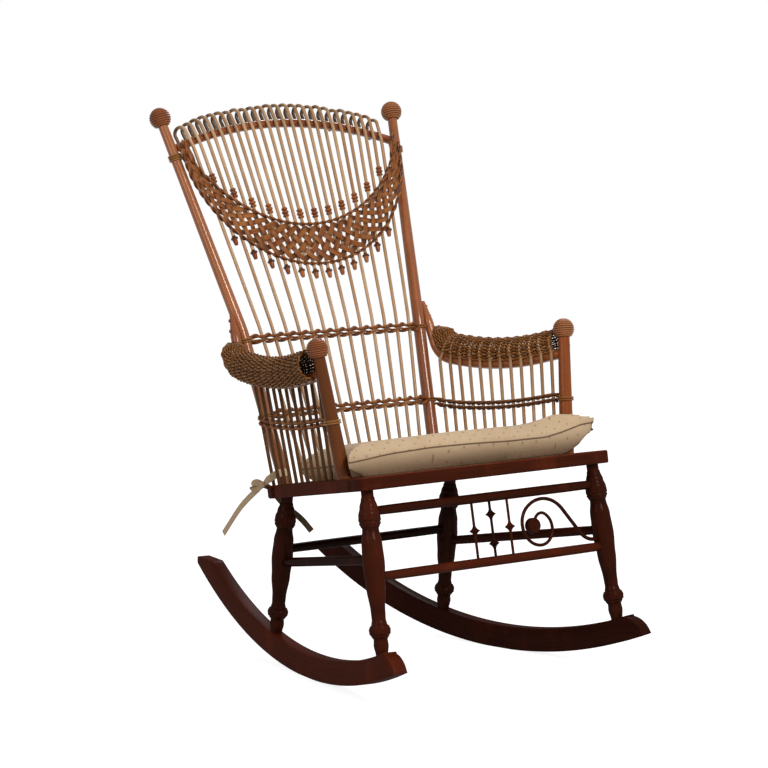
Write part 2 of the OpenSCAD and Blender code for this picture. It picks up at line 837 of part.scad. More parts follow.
bend_point = back_point(lower_lean, post_bend_x, 0, 0);
ball_point = back_point(upper_lean, post_ball_x, upper_length, 0);
arm_base = seat_point(arm_base_x, seat_v(-seat_front_y + arm_base_back, seat_thick), seat_thick);
arm_ball = [arm_ball_x, -arm_ball_y, arm_ball_z];

module back_post_foot(extra, deeper) {
    along(post_base, bend_point) translate([0, 0, -post_tenon - deeper])
        cylinder(h = post_tenon + deeper + 12, r = post_tenon_r + extra);
}

module ball_tenons(centre, below, extra, deeper) {
    along(centre, below) translate([0, 0, ball_seat - ball_tenon - deeper])
        cylinder(h = ball_tenon + deeper + 6, r = ball_tenon_r + extra);
}

module top_rail_tenon(extra, deeper) {
    top_rail_frame()
        rotate([0, 0, 90 - top_rail_reach])
            translate([top_rail_bend, 0, 0])
                rotate([90, 0, 0])
                    translate([0, 0, -4])
                        cylinder(h = rail_tenon + deeper + 4, r = top_rail_tenon_r + extra);
}

module back_post_shape() {
    upper = norm(ball_point - bend_point);
    lower = norm(bend_point - post_base);
    reach = elbow_reach(post_base, bend_point, ball_point, post_bend);
    difference() {
        union() {
            intersection() {
                along(bend_point, post_base) translate([0, 0, reach])
                    cylinder(h = lower - reach + 15, r1 = post_bend_r, r2 = post_base_r);
                above_seat();
            }
            back_post_foot(0, 0);
            elbow(post_base, bend_point, ball_point, post_bend_r, post_bend);
            along(bend_point, ball_point) translate([0, 0, reach])
                cylinder(h = upper - ball_seat - reach, r1 = post_bend_r, r2 = post_top_r);
            ball_tenons(ball_point, bend_point, 0, 0);
        }
        top_rail_tenon(fit, drill_past);
    }
}

// Top rail, bent to one arc in the plane of the posts

top_rail_tenon_r = 5;
rail_tenon = 6;
function top_rail_height(x) =
    top_rail_v - top_rail_bend + sqrt(top_rail_bend * top_rail_bend - x * x);

// The arc ends where its middle line is one post radius short of the post's axis
rail_end_v = top_rail_height(post_x(0.88 * upper_length));
rail_end_x = post_x(rail_end_v) - post_radius(rail_end_v) + 1.5;
top_rail_reach = asin(rail_end_x / top_rail_bend);

module top_rail_frame() {
    on_back(upper_lean) translate([0, top_rail_v - top_rail_bend, 0]) children();
}

module top_rail_shape() {
    difference() {
        top_rail_frame()
            rotate([0, 0, 90 - top_rail_reach])
                rotate_extrude(angle = 2 * top_rail_reach)
                    translate([top_rail_bend, 0]) circle(top_rail_r);
        for (side = [0, 1]) mirror([side, 0, 0])
            along(bend_point, ball_point)
                cylinder(h = upper_length, r1 = post_bend_r + fit, r2 = post_top_r + fit);
    }
    for (side = [0, 1]) mirror([side, 0, 0]) top_rail_tenon(0, 0);
}

// Back sticks: they pass in front of the top rail, loop over it and end behind it

stick_w = top_rail_r + stick_r;
stick_spread = (stick_step_top - stick_step_bend) / top_rail_v;
function stick_x(j, v) = j * (stick_step_bend + stick_spread * v);
function stick_turn(j) = atan(j * stick_spread);
function loop_start(j) = top_rail_height(stick_x(j, top_rail_v)) + top_rail_r + loop_lift;

loop_r = norm([loop_width, 2 * stick_w]) / 2;
loop_yaw = atan2(2 * stick_w, loop_width);
arch_lap = lap / loop_r * 180 / PI;

// A stick's upper part from height v up, with its loop and the tail behind the rail
module looped_stick(j, v) {
    rise = (loop_start(j) - v) / cos(stick_turn(j));
    on_back(upper_lean)
        translate([stick_x(j, v), v, stick_w])
            rotate([0, 0, -stick_turn(j)]) {
                rotate([-90, 0, 0]) cylinder(h = rise, r = stick_r);
                translate([0, rise, 0]) rotate([0, -loop_yaw, 0]) {
                    translate([-loop_r, 0, 0]) rotate([0, 0, -arch_lap])
                        rotate_extrude(angle = 180 + 2 * arch_lap)
                            translate([loop_r, 0]) circle(stick_r - lap_step);
                    translate([-2 * loop_r, 0, 0]) rotate([90, 0, 0])
                        cylinder(h = loop_tail, r = stick_r);
                }
            }
}

// Height along the lower back at which a line w in front of it meets the seat's top
function seat_meet(w) = let (
    start = back_point(lower_lean, 0, 0, w),
    up = [0, sin(seat_slope), cos(seat_slope)],
    rise = [0, sin(lower_lean), cos(lower_lean)]
) (up * (seat_point(0, 0, seat_thick) - start)) / (up * rise);

// The plain sticks bend where their line, in front of the posts, passes from plane to plane.
stick_bend = 120;
bend_v = -stick_w * tan((upper_lean - lower_lean) / 2);
function stick_point(lean, j, v) = back_point(lean, stick_x(j, v), v, stick_w);
function stick_corner(j) = stick_point(upper_lean, j, bend_v);
function stick_foot(j) = stick_point(lower_lean, j, seat_meet(stick_w));
function stick_top(j) = stick_point(upper_lean, j, top_rail_v);
function stick_reach(j) = elbow_reach(stick_foot(j), stick_corner(j), stick_top(j), stick_bend);

module back_stick_feet(r, deeper) {
    for (j = [-sticks_each_side:2:sticks_each_side]) {
        length = norm(stick_foot(j) - stick_corner(j)) + stick_hole + deeper;
        along(stick_corner(j), stick_foot(j)) translate([0, 0, stick_reach(j)])
            cylinder(h = length - stick_reach(j), r = r);
    }
}

module plain_sticks_shape() {
    for (j = [-sticks_each_side:2:sticks_each_side]) {
        looped_stick(j, bend_v + stick_reach(j) * cos(stick_turn(j)));
        elbow(stick_foot(j), stick_corner(j), stick_top(j), stick_r, stick_bend);
    }
    back_stick_feet(stick_r, 0);
}

// Crescent

low_centre = crescent_low + crescent_low_r;
high_centre = crescent_high + crescent_high_r;
function low_edge(x) = low_centre - sqrt(crescent_low_r * crescent_low_r - x * x);
function high_edge(x) = high_centre - sqrt(crescent_high_r * crescent_high_r - x * x);

crescent_w = stick_w + stick_r + soft_gap;
border_w = crescent_w + border_r;

module border_rope(centre, radius, reach) {
    on_back(upper_lean)
        translate([0, centre, border_w])
            rotate([0, 0, -90 - reach])
                rotate_extrude(angle = 2 * reach) translate([radius, 0]) circle(border_r);
}

// A point of the band at angle a from the vertical, t = 0 at the lower rope and 1 at the upper
rope_clear = border_r + strip_w / 2 * cos(45) + soft_gap;
function band_width(a) =
    let (c = high_centre - low_centre)
        crescent_low_r + c * cos(a) - sqrt(pow(crescent_high_r, 2) - pow(c * sin(a), 2));
function band_point(a, t) =
    let (r = crescent_low_r - rope_clear - t * (band_width(a) - 2 * rope_clear))
        [r * sin(a), low_centre - r * cos(a)];

strip_reach = 68;
module crescent_strips(side, layer) {
    for (k = [0:strip_count - 1]) {
        a = -strip_reach + 2 * strip_reach * k / (strip_count - 1);
        lean = band_width(a) / (crescent_low_r - band_width(a) / 2) * 180 / PI;
        b = a + side * lean;
        if (abs(b) < strip_reach + 5) {
            p = band_point(a, 0);
            q = band_point(b, 1);
            on_back(upper_lean)
                translate([p.x, p.y, crescent_w + layer * (strip_thick + soft_gap / 3)])
                    rotate([0, 0, atan2(q.y - p.y, q.x - p.x)])
                        translate([0, -strip_w / 2, 0])
                            cube([norm(q - p), strip_w, strip_thick]);
        }
    }
}

function beaded() = [for (j = [-sticks_each_side + 1:2:sticks_each_side - 1]) j];
function bead_v(j) = high_edge(stick_x(j, high_edge(stick_x(j, crescent_high)))) + bead_lift;
function acorn_v(j) = low_edge(stick_x(j, low_edge(stick_x(j, crescent_low)))) - acorn_fall;

module beaded_sticks_shape() {
    for (j = beaded()) looped_stick(j, acorn_v(j) - acorn_h * 0.25);
}

module on_stick(j, v) {
    on_back(upper_lean)
        translate([stick_x(j, v), v, stick_w])
            rotate([0, 0, -stick_turn(j)])
                rotate([-90, 0, 0])
                    children();
}

// Three turned beads in one piece, drilled for the stick
module bead_group() {
    small = bead_r * 0.42;
    large = bead_r * 0.5;
    pitch = bead_r * 1.15;
    bore = stick_r + fit;
    rotate_extrude() difference() {
        union() {
            translate([bore, -pitch - small]) square([0.6, 2 * (pitch + small)]);
            translate([bead_r - large, 0]) circle(large);
            for (s = [-1, 1]) translate([bead_r * 0.88 - small, s * pitch]) circle(small);
        }
        translate([0, -far / 20]) square([bore, far / 10]);
    }
}

// An acorn: a cap with a rounded rim over a body that narrows to a blunt tip
acorn_marks = [[0.0, 0.25], [0.06, 0.45], [0.3, 0.7], [0.55, 0.78], [0.6, 0.78], [0.62, 0.95],
    [0.7, 1.0], [0.82, 0.92], [0.92, 0.62], [1.0, 0.55]];
module acorn() {
    rotate_extrude() polygon(concat([[0, -acorn_h / 2]],
        [for (m = eased(acorn_marks)) [acorn_r * m[1], acorn_h * (m[0] - 0.5)]],
        [[stick_r + fit, acorn_h / 2], [stick_r + fit, -acorn_h * 0.27], [0, -acorn_h * 0.27]]));
}

// Twining of the back: a strand before and a strand behind the sticks, in two lines

module back_twining(v) {
    reach = post_x(-v) - post_radius(-v) - soft_gap;
    for (line = [-1, 1], face = [-1, 1])
        on_back(lower_lean)
            translate([0, -v + line * twining_gap / 2, stick_w + face * (stick_r + strand_r + soft_gap / 2)])
                rotate([0, 90, 0])
                    cylinder(h = 2 * reach, r = strand_r, center = true);
}

// Balls: a turned core on the post's end and one unbroken winding of reed

wind_r = ball_r - ball_reed_r;
core_r = wind_r * cos(180 / wind_steps) - ball_reed_r - fit;
wind_from = 14;
wind_to = 180 - asin((post_top_r + ball_reed_r + 1) / wind_r);
arm_wind_to = 180 - asin((arm_top_r + ball_reed_r + 1) / wind_r);

module ball_core(centre, below) {
    difference() {
        translate(centre) sphere(core_r);
        along(centre, below) translate([0, 0, ball_seat]) cylinder(h = ball_r, r = ball_r);
        ball_tenons(centre, below, fit, drill_past);
    }
}

function ball_path(turns, to) = wind_path(turns,
    function (t) wind_r * sin(wind_from + (to - wind_from) * t),
    function (t) -wind_r * cos(wind_from + (to - wind_from) * t));

module ball_winding(centre, below, turns, to) {
    along(centre, below) winding(ball_path(turns, to), ball_reed_r);
}

echo("least gap between the turns on a back ball", wind_gap(ball_path(ball_turns, wind_to), ball_reed_r));
echo("least gap between the turns on an arm ball", wind_gap(ball_path(arm_ball_turns, arm_wind_to), ball_reed_r));

// Arm posts and arm rails

arm_axis = unit(arm_ball - arm_base);
arm_joint = arm_base + arm_axis * (arm_rail_z - arm_base.z) / arm_axis.z;

module arm_post_foot(extra, deeper) {
    along(arm_base, arm_ball) translate([0, 0, -post_tenon - deeper])
        cylinder(h = post_tenon + deeper + 12, r = post_tenon_r + extra);
}

// The arm rail lies in an upright plane: x back along it, y up, z out from the chair
module on_arm() {
    translate([arm_joint.x, arm_joint.y, arm_joint.z])
        rotate([0, 0, 90 + arm_rail_toe])
            rotate([90, 0, 0])
                children();
}

function arm_world(s, z, out) = [
    arm_joint.x - s * sin(arm_rail_toe) + out * cos(arm_rail_toe),
    arm_joint.y + s * cos(arm_rail_toe) + out * sin(arm_rail_toe),
    arm_joint.z + z
];

arm_steps = [[arm_straight, 0], [arm_long_bend, arm_long_turn], [arm_short_bend, arm_short_turn],
    [arm_rise, 0]];
arm_length = step_length(arm_steps[0]) + step_length(arm_steps[1]) + step_length(arm_steps[2])
    + arm_rise;

// Place and heading on the arm rail at distance d from the arm post's axis
function arm_walk(d) =
    let (w = walk(arm_steps, d), c = cos(-arm_rail_fall), s = sin(-arm_rail_fall))
        [w[0] * c - w[1] * s, w[0] * s + w[1] * c, w[2] - arm_rail_fall];

arm_tenon_r = 6;
arm_tenon = 7;

module arm_rail_tenon(extra, deeper) {
    on_arm() rotate([0, 90 , 0]) rotate([arm_rail_fall, 0, 0])
        translate([0, 0, arm_top_r - arm_tenon - deeper])
            cylinder(h = arm_tenon + deeper + 10, r = arm_tenon_r + extra);
}

// The notch in the arm rail that the reed round the back post lies in
module wrap_notch() {
    half = wrap_pitch + wrap_reed_r + 2 * soft_gap;
    outer = (post_bend_r + 2 * wrap_reed_r + soft_gap) / cos(180 / wind_steps) + soft_gap;
    along(bend_point, post_base) translate([0, 0, upper_twining - half])
        cylinder(h = 2 * half, r = outer);
}

module arm_rail_shape() {
    end = arm_walk(arm_length);
    difference() {
        on_arm() {
            rotate([0, 0, -arm_rail_fall]) bent_rod(arm_steps, arm_rail_r);
            translate([end[0], end[1], 0]) rotate([0, 0, end[2]]) rotate([0, 90, 0])
                translate([0, 0, -lap])
                    cylinder(h = arm_taper, r1 = arm_rail_r - lap_step, r2 = arm_rail_r * 0.45);
        }
        along(arm_base, arm_ball)
            cylinder(h = norm(arm_ball - arm_base), r1 = arm_base_r + fit, r2 = arm_top_r + fit);
        along(bend_point, ball_point)
            cylinder(h = upper_length, r1 = post_bend_r + fit, r2 = post_top_r + fit);
        along(bend_point, post_base)
            cylinder(h = lower_length, r1 = post_bend_r + fit, r2 = post_base_r + fit);
        wrap_notch();
    }
    arm_rail_tenon(0, 0);
}

module arm_post_shape() {
    length = norm(arm_ball - arm_base);
    difference() {
        union() {
            intersection() {
                along(arm_ball, arm_base) translate([0, 0, ball_seat])
                    cylinder(h = length - ball_seat + 10, r1 = arm_top_r, r2 = arm_base_r);
                above_seat();
            }
            arm_post_foot(0, 0);
            ball_tenons(arm_ball, arm_base, 0, 0);
        }
        arm_rail_tenon(fit, drill_past);
    }
}

// Arm sticks: a row along the seat's side, leaning out to the inner face of the arm rail

arm_stick_inset = 16;
arm_foot_first = arm_base_back + arm_base_r + stick_r + 7;
arm_foot_last = post_seat_v - 6;
arm_stick_out = arm_rail_r + stick_r + soft_gap / 2;
arm_stick_over = 9;

function arm_foot(t) =
    let (v = arm_foot_first + (arm_foot_last - arm_foot_first) * t)
        seat_point(side_edge(v) - arm_stick_inset, v, seat_thick);
function arm_head(t) =
    let (w = arm_walk(arm_stick_first + (arm_stick_last - arm_stick_first) * t))
        arm_world(w[0], w[1] + arm_stick_over, -arm_stick_out);

module arm_stick_set(r, holes) {
    for (k = [0:arm_sticks - 1]) {
        a = arm_foot(k / (arm_sticks - 1));
        b = arm_head(k / (arm_sticks - 1));
        along(a, b) translate([0, 0, -stick_hole - (holes ? drill_past : 0)])
            cylinder(h = holes ? 2 * stick_hole : norm(b - a) + stick_hole, r = r);
    }
}

// Arm twining: two lines of two strands, at a set share of the sticks' length
module arm_twining_shape() {
    outward = [cos(arm_rail_toe), sin(arm_rail_toe), 0];
    for (line = [-1, 1], face = [-1, 1]) {
        rise = line * twining_gap / 2;
        row = [for (k = [0:arm_sticks - 1])
            let (t = k / (arm_sticks - 1), a = arm_foot(t), b = arm_head(t))
                a + (b - a) * arm_twining_share + unit(b - a) * rise
                    + outward * face * (stick_r + strand_r + soft_gap / 2)];
        start = arm_base + arm_axis * ((row[0].z - arm_base.z) / arm_axis.z);
        last = row[arm_sticks - 1];
        finish = back_point(lower_lean, post_x(-lower_twining), -lower_twining + rise, 0);
        near = start + unit(row[0] - start) * (arm_base_r + strand_r);
        ends = finish + unit(last - finish) * (post_base_r + strand_r);
        through_rings(rod_rings(concat([near], row, [ends]), strand_r, strand_r, 6, [0, 0, 1]));
    }
}

// Woven arm roll: a scroll of woven wall that starts on the sticks, rolls out and meets the rail

roll_out = 13;
roll_up = 22;
roll_first = 18;
roll_even = 255;
roll_last = 404;
roll_rings = 20;
roll_points = 14;
roll_start_angle = 203;
roll_end_angle = -96;

// The roll keeps its size along the arm and draws in up the rising end
function roll_scale(d) =
    let (t = max(0, (d - roll_even) / (roll_last - roll_even))) 1 - 0.72 * pow(t, 1.35);

function roll_ring(d) =
    let (w = arm_walk(d), k = roll_scale(d), n = [-sin(w[2]), cos(w[2])],
        wall = roll_wall * (0.4 + 0.6 * k))
        [for (j = [0:2 * roll_points - 1])
            let (
                i = j < roll_points ? j : 2 * roll_points - 1 - j,
                q = roll_start_angle + (roll_end_angle - roll_start_angle) * i / (roll_points - 1),
                r = roll_r * k + (j < roll_points ? 1 : -1) * wall / 2,
                up = roll_up * k + r * sin(q)
            )
                arm_world(w[0] + up * n[0], w[1] + up * n[1], roll_out * k + r * cos(q))];

module arm_roll_shape() {
    through_rings([for (i = [0:roll_rings - 1])
        roll_ring(roll_first + (roll_last - roll_first) * i / (roll_rings - 1))], true);
}

// Wraps: two turns of reed round a post

function wrap_path(radius) = wind_path(2,
    function (t) radius,
    function (t) 2 * wrap_pitch * (t - 0.5));

module post_wrap(a, b, radius) {
    along(a, b) winding(wrap_path((radius + wrap_reed_r + soft_gap) / cos(180 / wind_steps)), wrap_reed_r);
}

echo("least gap between the turns of a wrap", wind_gap(wrap_path(post_bend_r), wrap_reed_r));

crescent_wrap_v = 362;
module back_post_wraps_shape() {
    for (side = [0, 1]) mirror([side, 0, 0]) {
        post_wrap(back_point(upper_lean, post_x(crescent_wrap_v), crescent_wrap_v, 0), ball_point,
            post_radius(crescent_wrap_v));
        for (v = [upper_twining, lower_twining])
            post_wrap(back_point(lower_lean, post_x(-v), -v, 0), bend_point, post_radius(-v));
    }
}

arm_wrap_z = arm_head(0).z * arm_twining_share + arm_foot(0).z * (1 - arm_twining_share);
module arm_post_wraps_shape() {
    centre = arm_base + arm_axis * ((arm_wrap_z - arm_base.z) / arm_axis.z);
    share = norm(centre - arm_base) / norm(arm_ball - arm_base);
    for (side = [0, 1]) mirror([side, 0, 0])
        post_wrap(centre, arm_ball, arm_base_r + (arm_top_r - arm_base_r) * share);
}

// Nails through the tapered end of each arm rail into the back post
module arm_nails_shape() {
    end = arm_walk(arm_length);
    for (side = [0, 1]) mirror([side, 0, 0])
        for (d = [arm_taper * 0.25, arm_taper * 0.75])
            on_arm() translate([end[0], end[1], 0]) rotate([0, 0, end[2]])
                translate([d, 0, arm_rail_r * (1 - 0.55 * d / arm_taper)]) {
                    cylinder(h = nail_r * 0.6, r = nail_r);
                }
}

// Cushion: corners named in order round the outline, sides drawn in, crowned above and below

cushion_rear_y = seat_depth - seat_front_y - cushion_setback;
cushion_corners = [
    [cushion_rear_half, cushion_rear_y],
    [cushion_waist_half, arm_base.y + 2],
    [cushion_ear_x, -cushion_right_ear_y],
    [0, -(cushion_right_ear_y + cushion_left_ear_y) / 2 + 14],
    [-cushion_ear_x, -cushion_left_ear_y],
    [-cushion_waist_half, arm_base.y + 2],
    [-cushion_rear_half, cushion_rear_y],
    [0, cushion_rear_y - 10]
];
cushion_side_steps = 4;
cushion_rings = 6;

// The outline in plan, each side drawn in a little between its corners
cushion_edge = [
    for (i = [0:len(cushion_corners) - 1], k = [0:cushion_side_steps - 1])
        let (
            a = cushion_corners[i],
            b = cushion_corners[(i + 1) % len(cushion_corners)],
            t = k / cushion_side_steps,
            inward = unit([(a.y - b.y), (b.x - a.x)])
        )
            a + (b - a) * t - inward * 5 * sin(180 * t)
];

cushion_centre = [0, -48];
// Height share of the crown at share s of the way from the middle to the edge
function crown(s) = sqrt(max(0, 1 - pow(s, 2.6)));
// The edge line rides at this height above the seat, and the ears lift a little
function edge_lift(p) = 0.42 * cushion_thick + 10 * pow(abs(p.x) / cushion_ear_x, 3) * (p.y < -150 ? 1 : 0);

function cushion_ring(s, face) = [
    for (p = cushion_edge)
        let (
            q = cushion_centre + (p - cushion_centre) * s,
            mid = edge_lift(p) * s + 0.42 * cushion_thick * (1 - s),
            h = face > 0
                ? mid + (cushion_thick - mid) * crown(s)
                : mid * (1 - crown(s)),
            v = seat_v(q.y, seat_thick)
        )
            seat_point(q.x, v, seat_thick + soft_gap + h)
];

module cushion_shape() {
    shares = [for (k = [1:cushion_rings]) sqrt(k / cushion_rings)];
    bottom = [for (s = shares) cushion_ring(s, -1)];
    top = [for (k = [cushion_rings - 2:-1:0]) cushion_ring(shares[k], 1)];
    through_rings(concat(bottom, top));
}

// Ties: flat cloth bands from the cushion's rear corners, knotted beside the seat's corner

tie_knot_r = 6.5;
tie_knot = [-243, post_base.y - 3, post_base.z + 4];

module cloth_band(path) {
    half_w = tie_width / sqrt(2);
    half_t = tie_thick / sqrt(2);
    through_rings(rod_rings([for (p = path) tie_knot + p], half_w, half_t, 4, [0, 0, 1]));
}

// The strap from the cushion runs between two arm sticks; a bow, a long and a short end leave the knot.
module left_tie_shape() {
    translate(tie_knot) sphere(tie_knot_r);
    cloth_band([[44, -25, 24], [30, -18, 23], [18, -14, 19], [7, -7, 10], [0, 0, 0]]);
    cloth_band([[0, 0, 2], [-7, 16, 8], [-13, 30, 4], [-12, 36, -8], [-6, 24, -14], [0, 0, -2]]);
    cloth_band([[0, 0, 0], [-5, 12, -10], [-18, 52, -44], [-32, 88, -103]]);
    cloth_band([[0, 0, 0], [-1, -22, -14], [1, -42, -34], [16, -58, -42], [29, -72, -58], [31, -98, -76]]);
}

// Nodes

module left_rocker() { color(wood) in_place() mirror([1, 0, 0]) right_rocker_shape(); }
module right_rocker() { color(wood) in_place() right_rocker_shape(); }
module front_left_leg() { color(dark_wood) in_place() mirror([1, 0, 0]) front_leg_shape(); }
module front_right_leg() {
    color(dark_wood) in_place() difference() {
        front_leg_shape();
        on_scroll() rod_step(scroll_steps, 0, scroll_r + lap_step + fit);
    }
}
module rear_left_leg() { color(dark_wood) in_place() mirror([1, 0, 0]) rear_leg_shape(); }
module rear_right_leg() { color(dark_wood) in_place() rear_leg_shape(); }

module front_upper_stretcher() {
    color(dark_wood) in_place() difference() {
        stretcher(fu_right, flip(fu_right), upper_face);
        fret_holes(0.2);
    }
}

module front_lower_stretcher() {
    color(dark_wood) in_place() difference() {
        stretcher(fl_right, flip(fl_right), lower_face);
        fret_holes(0.2);
    }
}

module left_side_stretcher() { color(dark_wood) in_place() mirror([1, 0, 0]) side_stretcher(); }
module right_side_stretcher() { color(dark_wood) in_place() side_stretcher(); }
module side_stretcher() {
    length = norm(side_rear - side_front);
    along(side_front, side_rear) {
        translate([0, 0, side_face]) cylinder(h = length - side_face - rear_side_face, r = stretcher_r);
        translate([0, 0, side_face - stretcher_tenon])
            cylinder(h = length - side_face - rear_side_face + 2 * stretcher_tenon, r = stretcher_tenon_r);
    }
}
module rear_stretcher() { color(dark_wood) in_place() stretcher(rs_right, flip(rs_right), rear_face); }

module left_fret_stick() { color(dark_wood) in_place() fret_stick(fret_x, [0]); }
module middle_fret_stick() {
    color(dark_wood) in_place() fret_stick(fret_x + fret_step, [-0.46, 0.46]);
}
module right_fret_stick() { color(dark_wood) in_place() fret_stick(fret_x + 2 * fret_step, [0]); }
module scroll_reed() { color(dark_wood) in_place() on_scroll() bent_rod(scroll_steps, scroll_r); }

module scroll_boss() { color(dark_wood) in_place() scroll_boss_shape(); }

module seat_front_rail() { color(wood) in_place() front_rail_shape(); }
module seat_left_rail() { color(wood) in_place() mirror([1, 0, 0]) side_rail_shape(); }
module seat_right_rail() { color(wood) in_place() side_rail_shape(); }
module seat_rear_rail() { color(wood) in_place() rear_rail_shape(); }
module cane_panel() { color(cane) in_place() cane_sheet_shape(); }
module cane_spline() { color(cane) in_place() cane_spline_shape(); }

module left_back_post() { color(wood) in_place() mirror([1, 0, 0]) back_post_shape(); }
module right_back_post() { color(wood) in_place() back_post_shape(); }
module top_rail() { color(wood) in_place() top_rail_shape(); }
module back_plain_sticks() { color(reed) in_place() plain_sticks_shape(); }
module back_beaded_sticks() { color(reed) in_place() beaded_sticks_shape(); }
module stick_beads() { color(bead_wood) in_place() for (j = beaded()) on_stick(j, bead_v(j)) bead_group(); }
module acorn_drops() { color(bead_wood) in_place() for (j = beaded()) on_stick(j, acorn_v(j)) acorn(); }

module crescent_rising_reeds() { color(woven) in_place() crescent_strips(1, 0); }
module crescent_falling_reeds() { color(woven) in_place() crescent_strips(-1, 1); }
module crescent_upper_border() {
    color(woven) in_place() border_rope(high_centre, crescent_high_r, crescent_high_reach);
}
module crescent_lower_border() {
    color(woven) in_place() border_rope(low_centre, crescent_low_r, crescent_low_reach);
}
module back_upper_twining() { color(woven) in_place() back_twining(upper_twining); }
module back_lower_twining() { color(woven) in_place() back_twining(lower_twining); }

module left_back_ball() { color(reed) in_place() mirror([1, 0, 0]) ball_core(ball_point, bend_point); }
module right_back_ball() { color(reed) in_place() ball_core(ball_point, bend_point); }
module left_back_ball_winding() {
    color(woven) in_place() mirror([1, 0, 0]) ball_winding(ball_point, bend_point, ball_turns, wind_to);
}
module right_back_ball_winding() { color(woven) in_place() ball_winding(ball_point, bend_point, ball_turns, wind_to); }

module left_arm_post() { color(wood) in_place() mirror([1, 0, 0]) arm_post_shape(); }
module right_arm_post() { color(wood) in_place() arm_post_shape(); }
module left_arm_ball() { color(reed) in_place() mirror([1, 0, 0]) ball_core(arm_ball, arm_base); }
module right_arm_ball() { color(reed) in_place() ball_core(arm_ball, arm_base); }
module left_arm_ball_winding() {
    color(woven) in_place() mirror([1, 0, 0]) ball_winding(arm_ball, arm_base, arm_ball_turns, arm_wind_to);
}
module right_arm_ball_winding() { color(woven) in_place() ball_winding(arm_ball, arm_base, arm_ball_turns, arm_wind_to); }

module left_arm_rail() { color(wood) in_place() mirror([1, 0, 0]) arm_rail_shape(); }
module right_arm_rail() { color(wood) in_place() arm_rail_shape(); }
module left_arm_sticks() { color(reed) in_place() mirror([1, 0, 0]) arm_stick_set(stick_r, false); }
module right_arm_sticks() { color(reed) in_place() arm_stick_set(stick_r, false); }
module left_arm_twining() { color(woven) in_place() mirror([1, 0, 0]) arm_twining_shape(); }
module right_arm_twining() { color(woven) in_place() arm_twining_shape(); }
module left_arm_roll() { color(woven) in_place() mirror([1, 0, 0]) arm_roll_shape(); }
module right_arm_roll() { color(woven) in_place() arm_roll_shape(); }
module back_post_wraps() { color(woven) in_place() back_post_wraps_shape(); }
module arm_post_wraps() { color(woven) in_place() arm_post_wraps_shape(); }
module arm_rail_nails() { color("dimgray") in_place() arm_nails_shape(); }

module seat_cushion() { color(cloth) in_place() cushion_shape(); }
module left_cushion_tie() { color(cloth) in_place() left_tie_shape(); }
module right_cushion_tie() { color(cloth) in_place() mirror([1, 0, 0]) left_tie_shape(); }

left_rocker();
right_rocker();
front_left_leg();
front_right_leg();
rear_left_leg();
rear_right_leg();
front_upper_stretcher();
front_lower_stretcher();
left_side_stretcher();
right_side_stretcher();
rear_stretcher();
left_fret_stick();
middle_fret_stick();
right_fret_stick();
scroll_reed();
scroll_boss();
seat_front_rail();
seat_left_rail();
seat_right_rail();
seat_rear_rail();
cane_panel();
cane_spline();
left_back_post();
right_back_post();
top_rail();
back_plain_sticks();
back_beaded_sticks();
stick_beads();
acorn_drops();
crescent_rising_reeds();
crescent_falling_reeds();
crescent_upper_border();
crescent_lower_border();
back_upper_twining();
back_lower_twining();
left_back_ball();
right_back_ball();
left_back_ball_winding();
right_back_ball_winding();
left_arm_post();
right_arm_post();
left_arm_ball();
right_arm_ball();
left_arm_ball_winding();
right_arm_ball_winding();
left_arm_rail();
right_arm_rail();
left_arm_sticks();
right_arm_sticks();
left_arm_twining();
right_arm_twining();
left_arm_roll();
right_arm_roll();
back_post_wraps();
arm_post_wraps();
arm_rail_nails();
seat_cushion();
left_cushion_tie();
right_cushion_tie();
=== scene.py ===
# %% [markdown]
# # A stick back rocking chair
#
# The chair is an old one of turned wood and reed. The construction is packed already, as a fixed
# frame. This lesson dresses it: every turned part, reed, weave and cushion is worked out again as
# a smooth surface in the same place, and gets the finish of the real piece.

from math import atan2, cos, hypot, pi, radians, sin, tan

import bpy
import numpy as np
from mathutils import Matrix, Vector
from mathutils.bvhtree import BVHTree


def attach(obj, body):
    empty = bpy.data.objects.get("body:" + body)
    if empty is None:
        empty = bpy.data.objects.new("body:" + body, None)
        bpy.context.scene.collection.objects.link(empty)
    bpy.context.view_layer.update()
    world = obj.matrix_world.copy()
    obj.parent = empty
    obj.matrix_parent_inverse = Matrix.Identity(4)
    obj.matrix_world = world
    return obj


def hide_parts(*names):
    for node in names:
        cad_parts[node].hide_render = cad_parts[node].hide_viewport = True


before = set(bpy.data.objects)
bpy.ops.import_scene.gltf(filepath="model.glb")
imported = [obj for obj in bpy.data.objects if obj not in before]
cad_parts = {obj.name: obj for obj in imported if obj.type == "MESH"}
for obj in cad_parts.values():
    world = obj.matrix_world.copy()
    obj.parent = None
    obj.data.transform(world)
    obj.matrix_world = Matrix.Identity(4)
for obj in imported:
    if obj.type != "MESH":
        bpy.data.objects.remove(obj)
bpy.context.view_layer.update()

# %% [markdown]
# ## One drawing for all pieces
#
# The chair maker's drawing is in millimetres: x to the picture's right, y back, z up, with the
# rockers touching the floor at y = 0. Left and right in the names are the viewer's. The packed
# frame is in metres and centred over its length. All shapes below are worked out on the drawing,
# and one function carries them into the frame, so no piece is moved or scaled as an object.

# %% The drawing's place
ROCKER_FRONT, ROCKER_REAR, TOE = 364.0, 494.0, radians(10.15)
MIDDLE = np.array([0.0, (ROCKER_REAR - ROCKER_FRONT) / 2 * cos(TOE), 0.0])
MM = 0.001
rng = np.random.default_rng(11)


def in_place(points):
    """Drawing millimetres become frame metres: less the middle, times a thousandth."""
    return (np.asarray(points, float) - MIDDLE) * MM


def on_drawing(points):
    """The way back: divided by a thousandth, plus the middle of the length."""
    return points / MM + MIDDLE


def unit(v):
    """A direction: the vector divided by its own length."""
    return v / np.linalg.norm(v, axis=-1, keepdims=True)


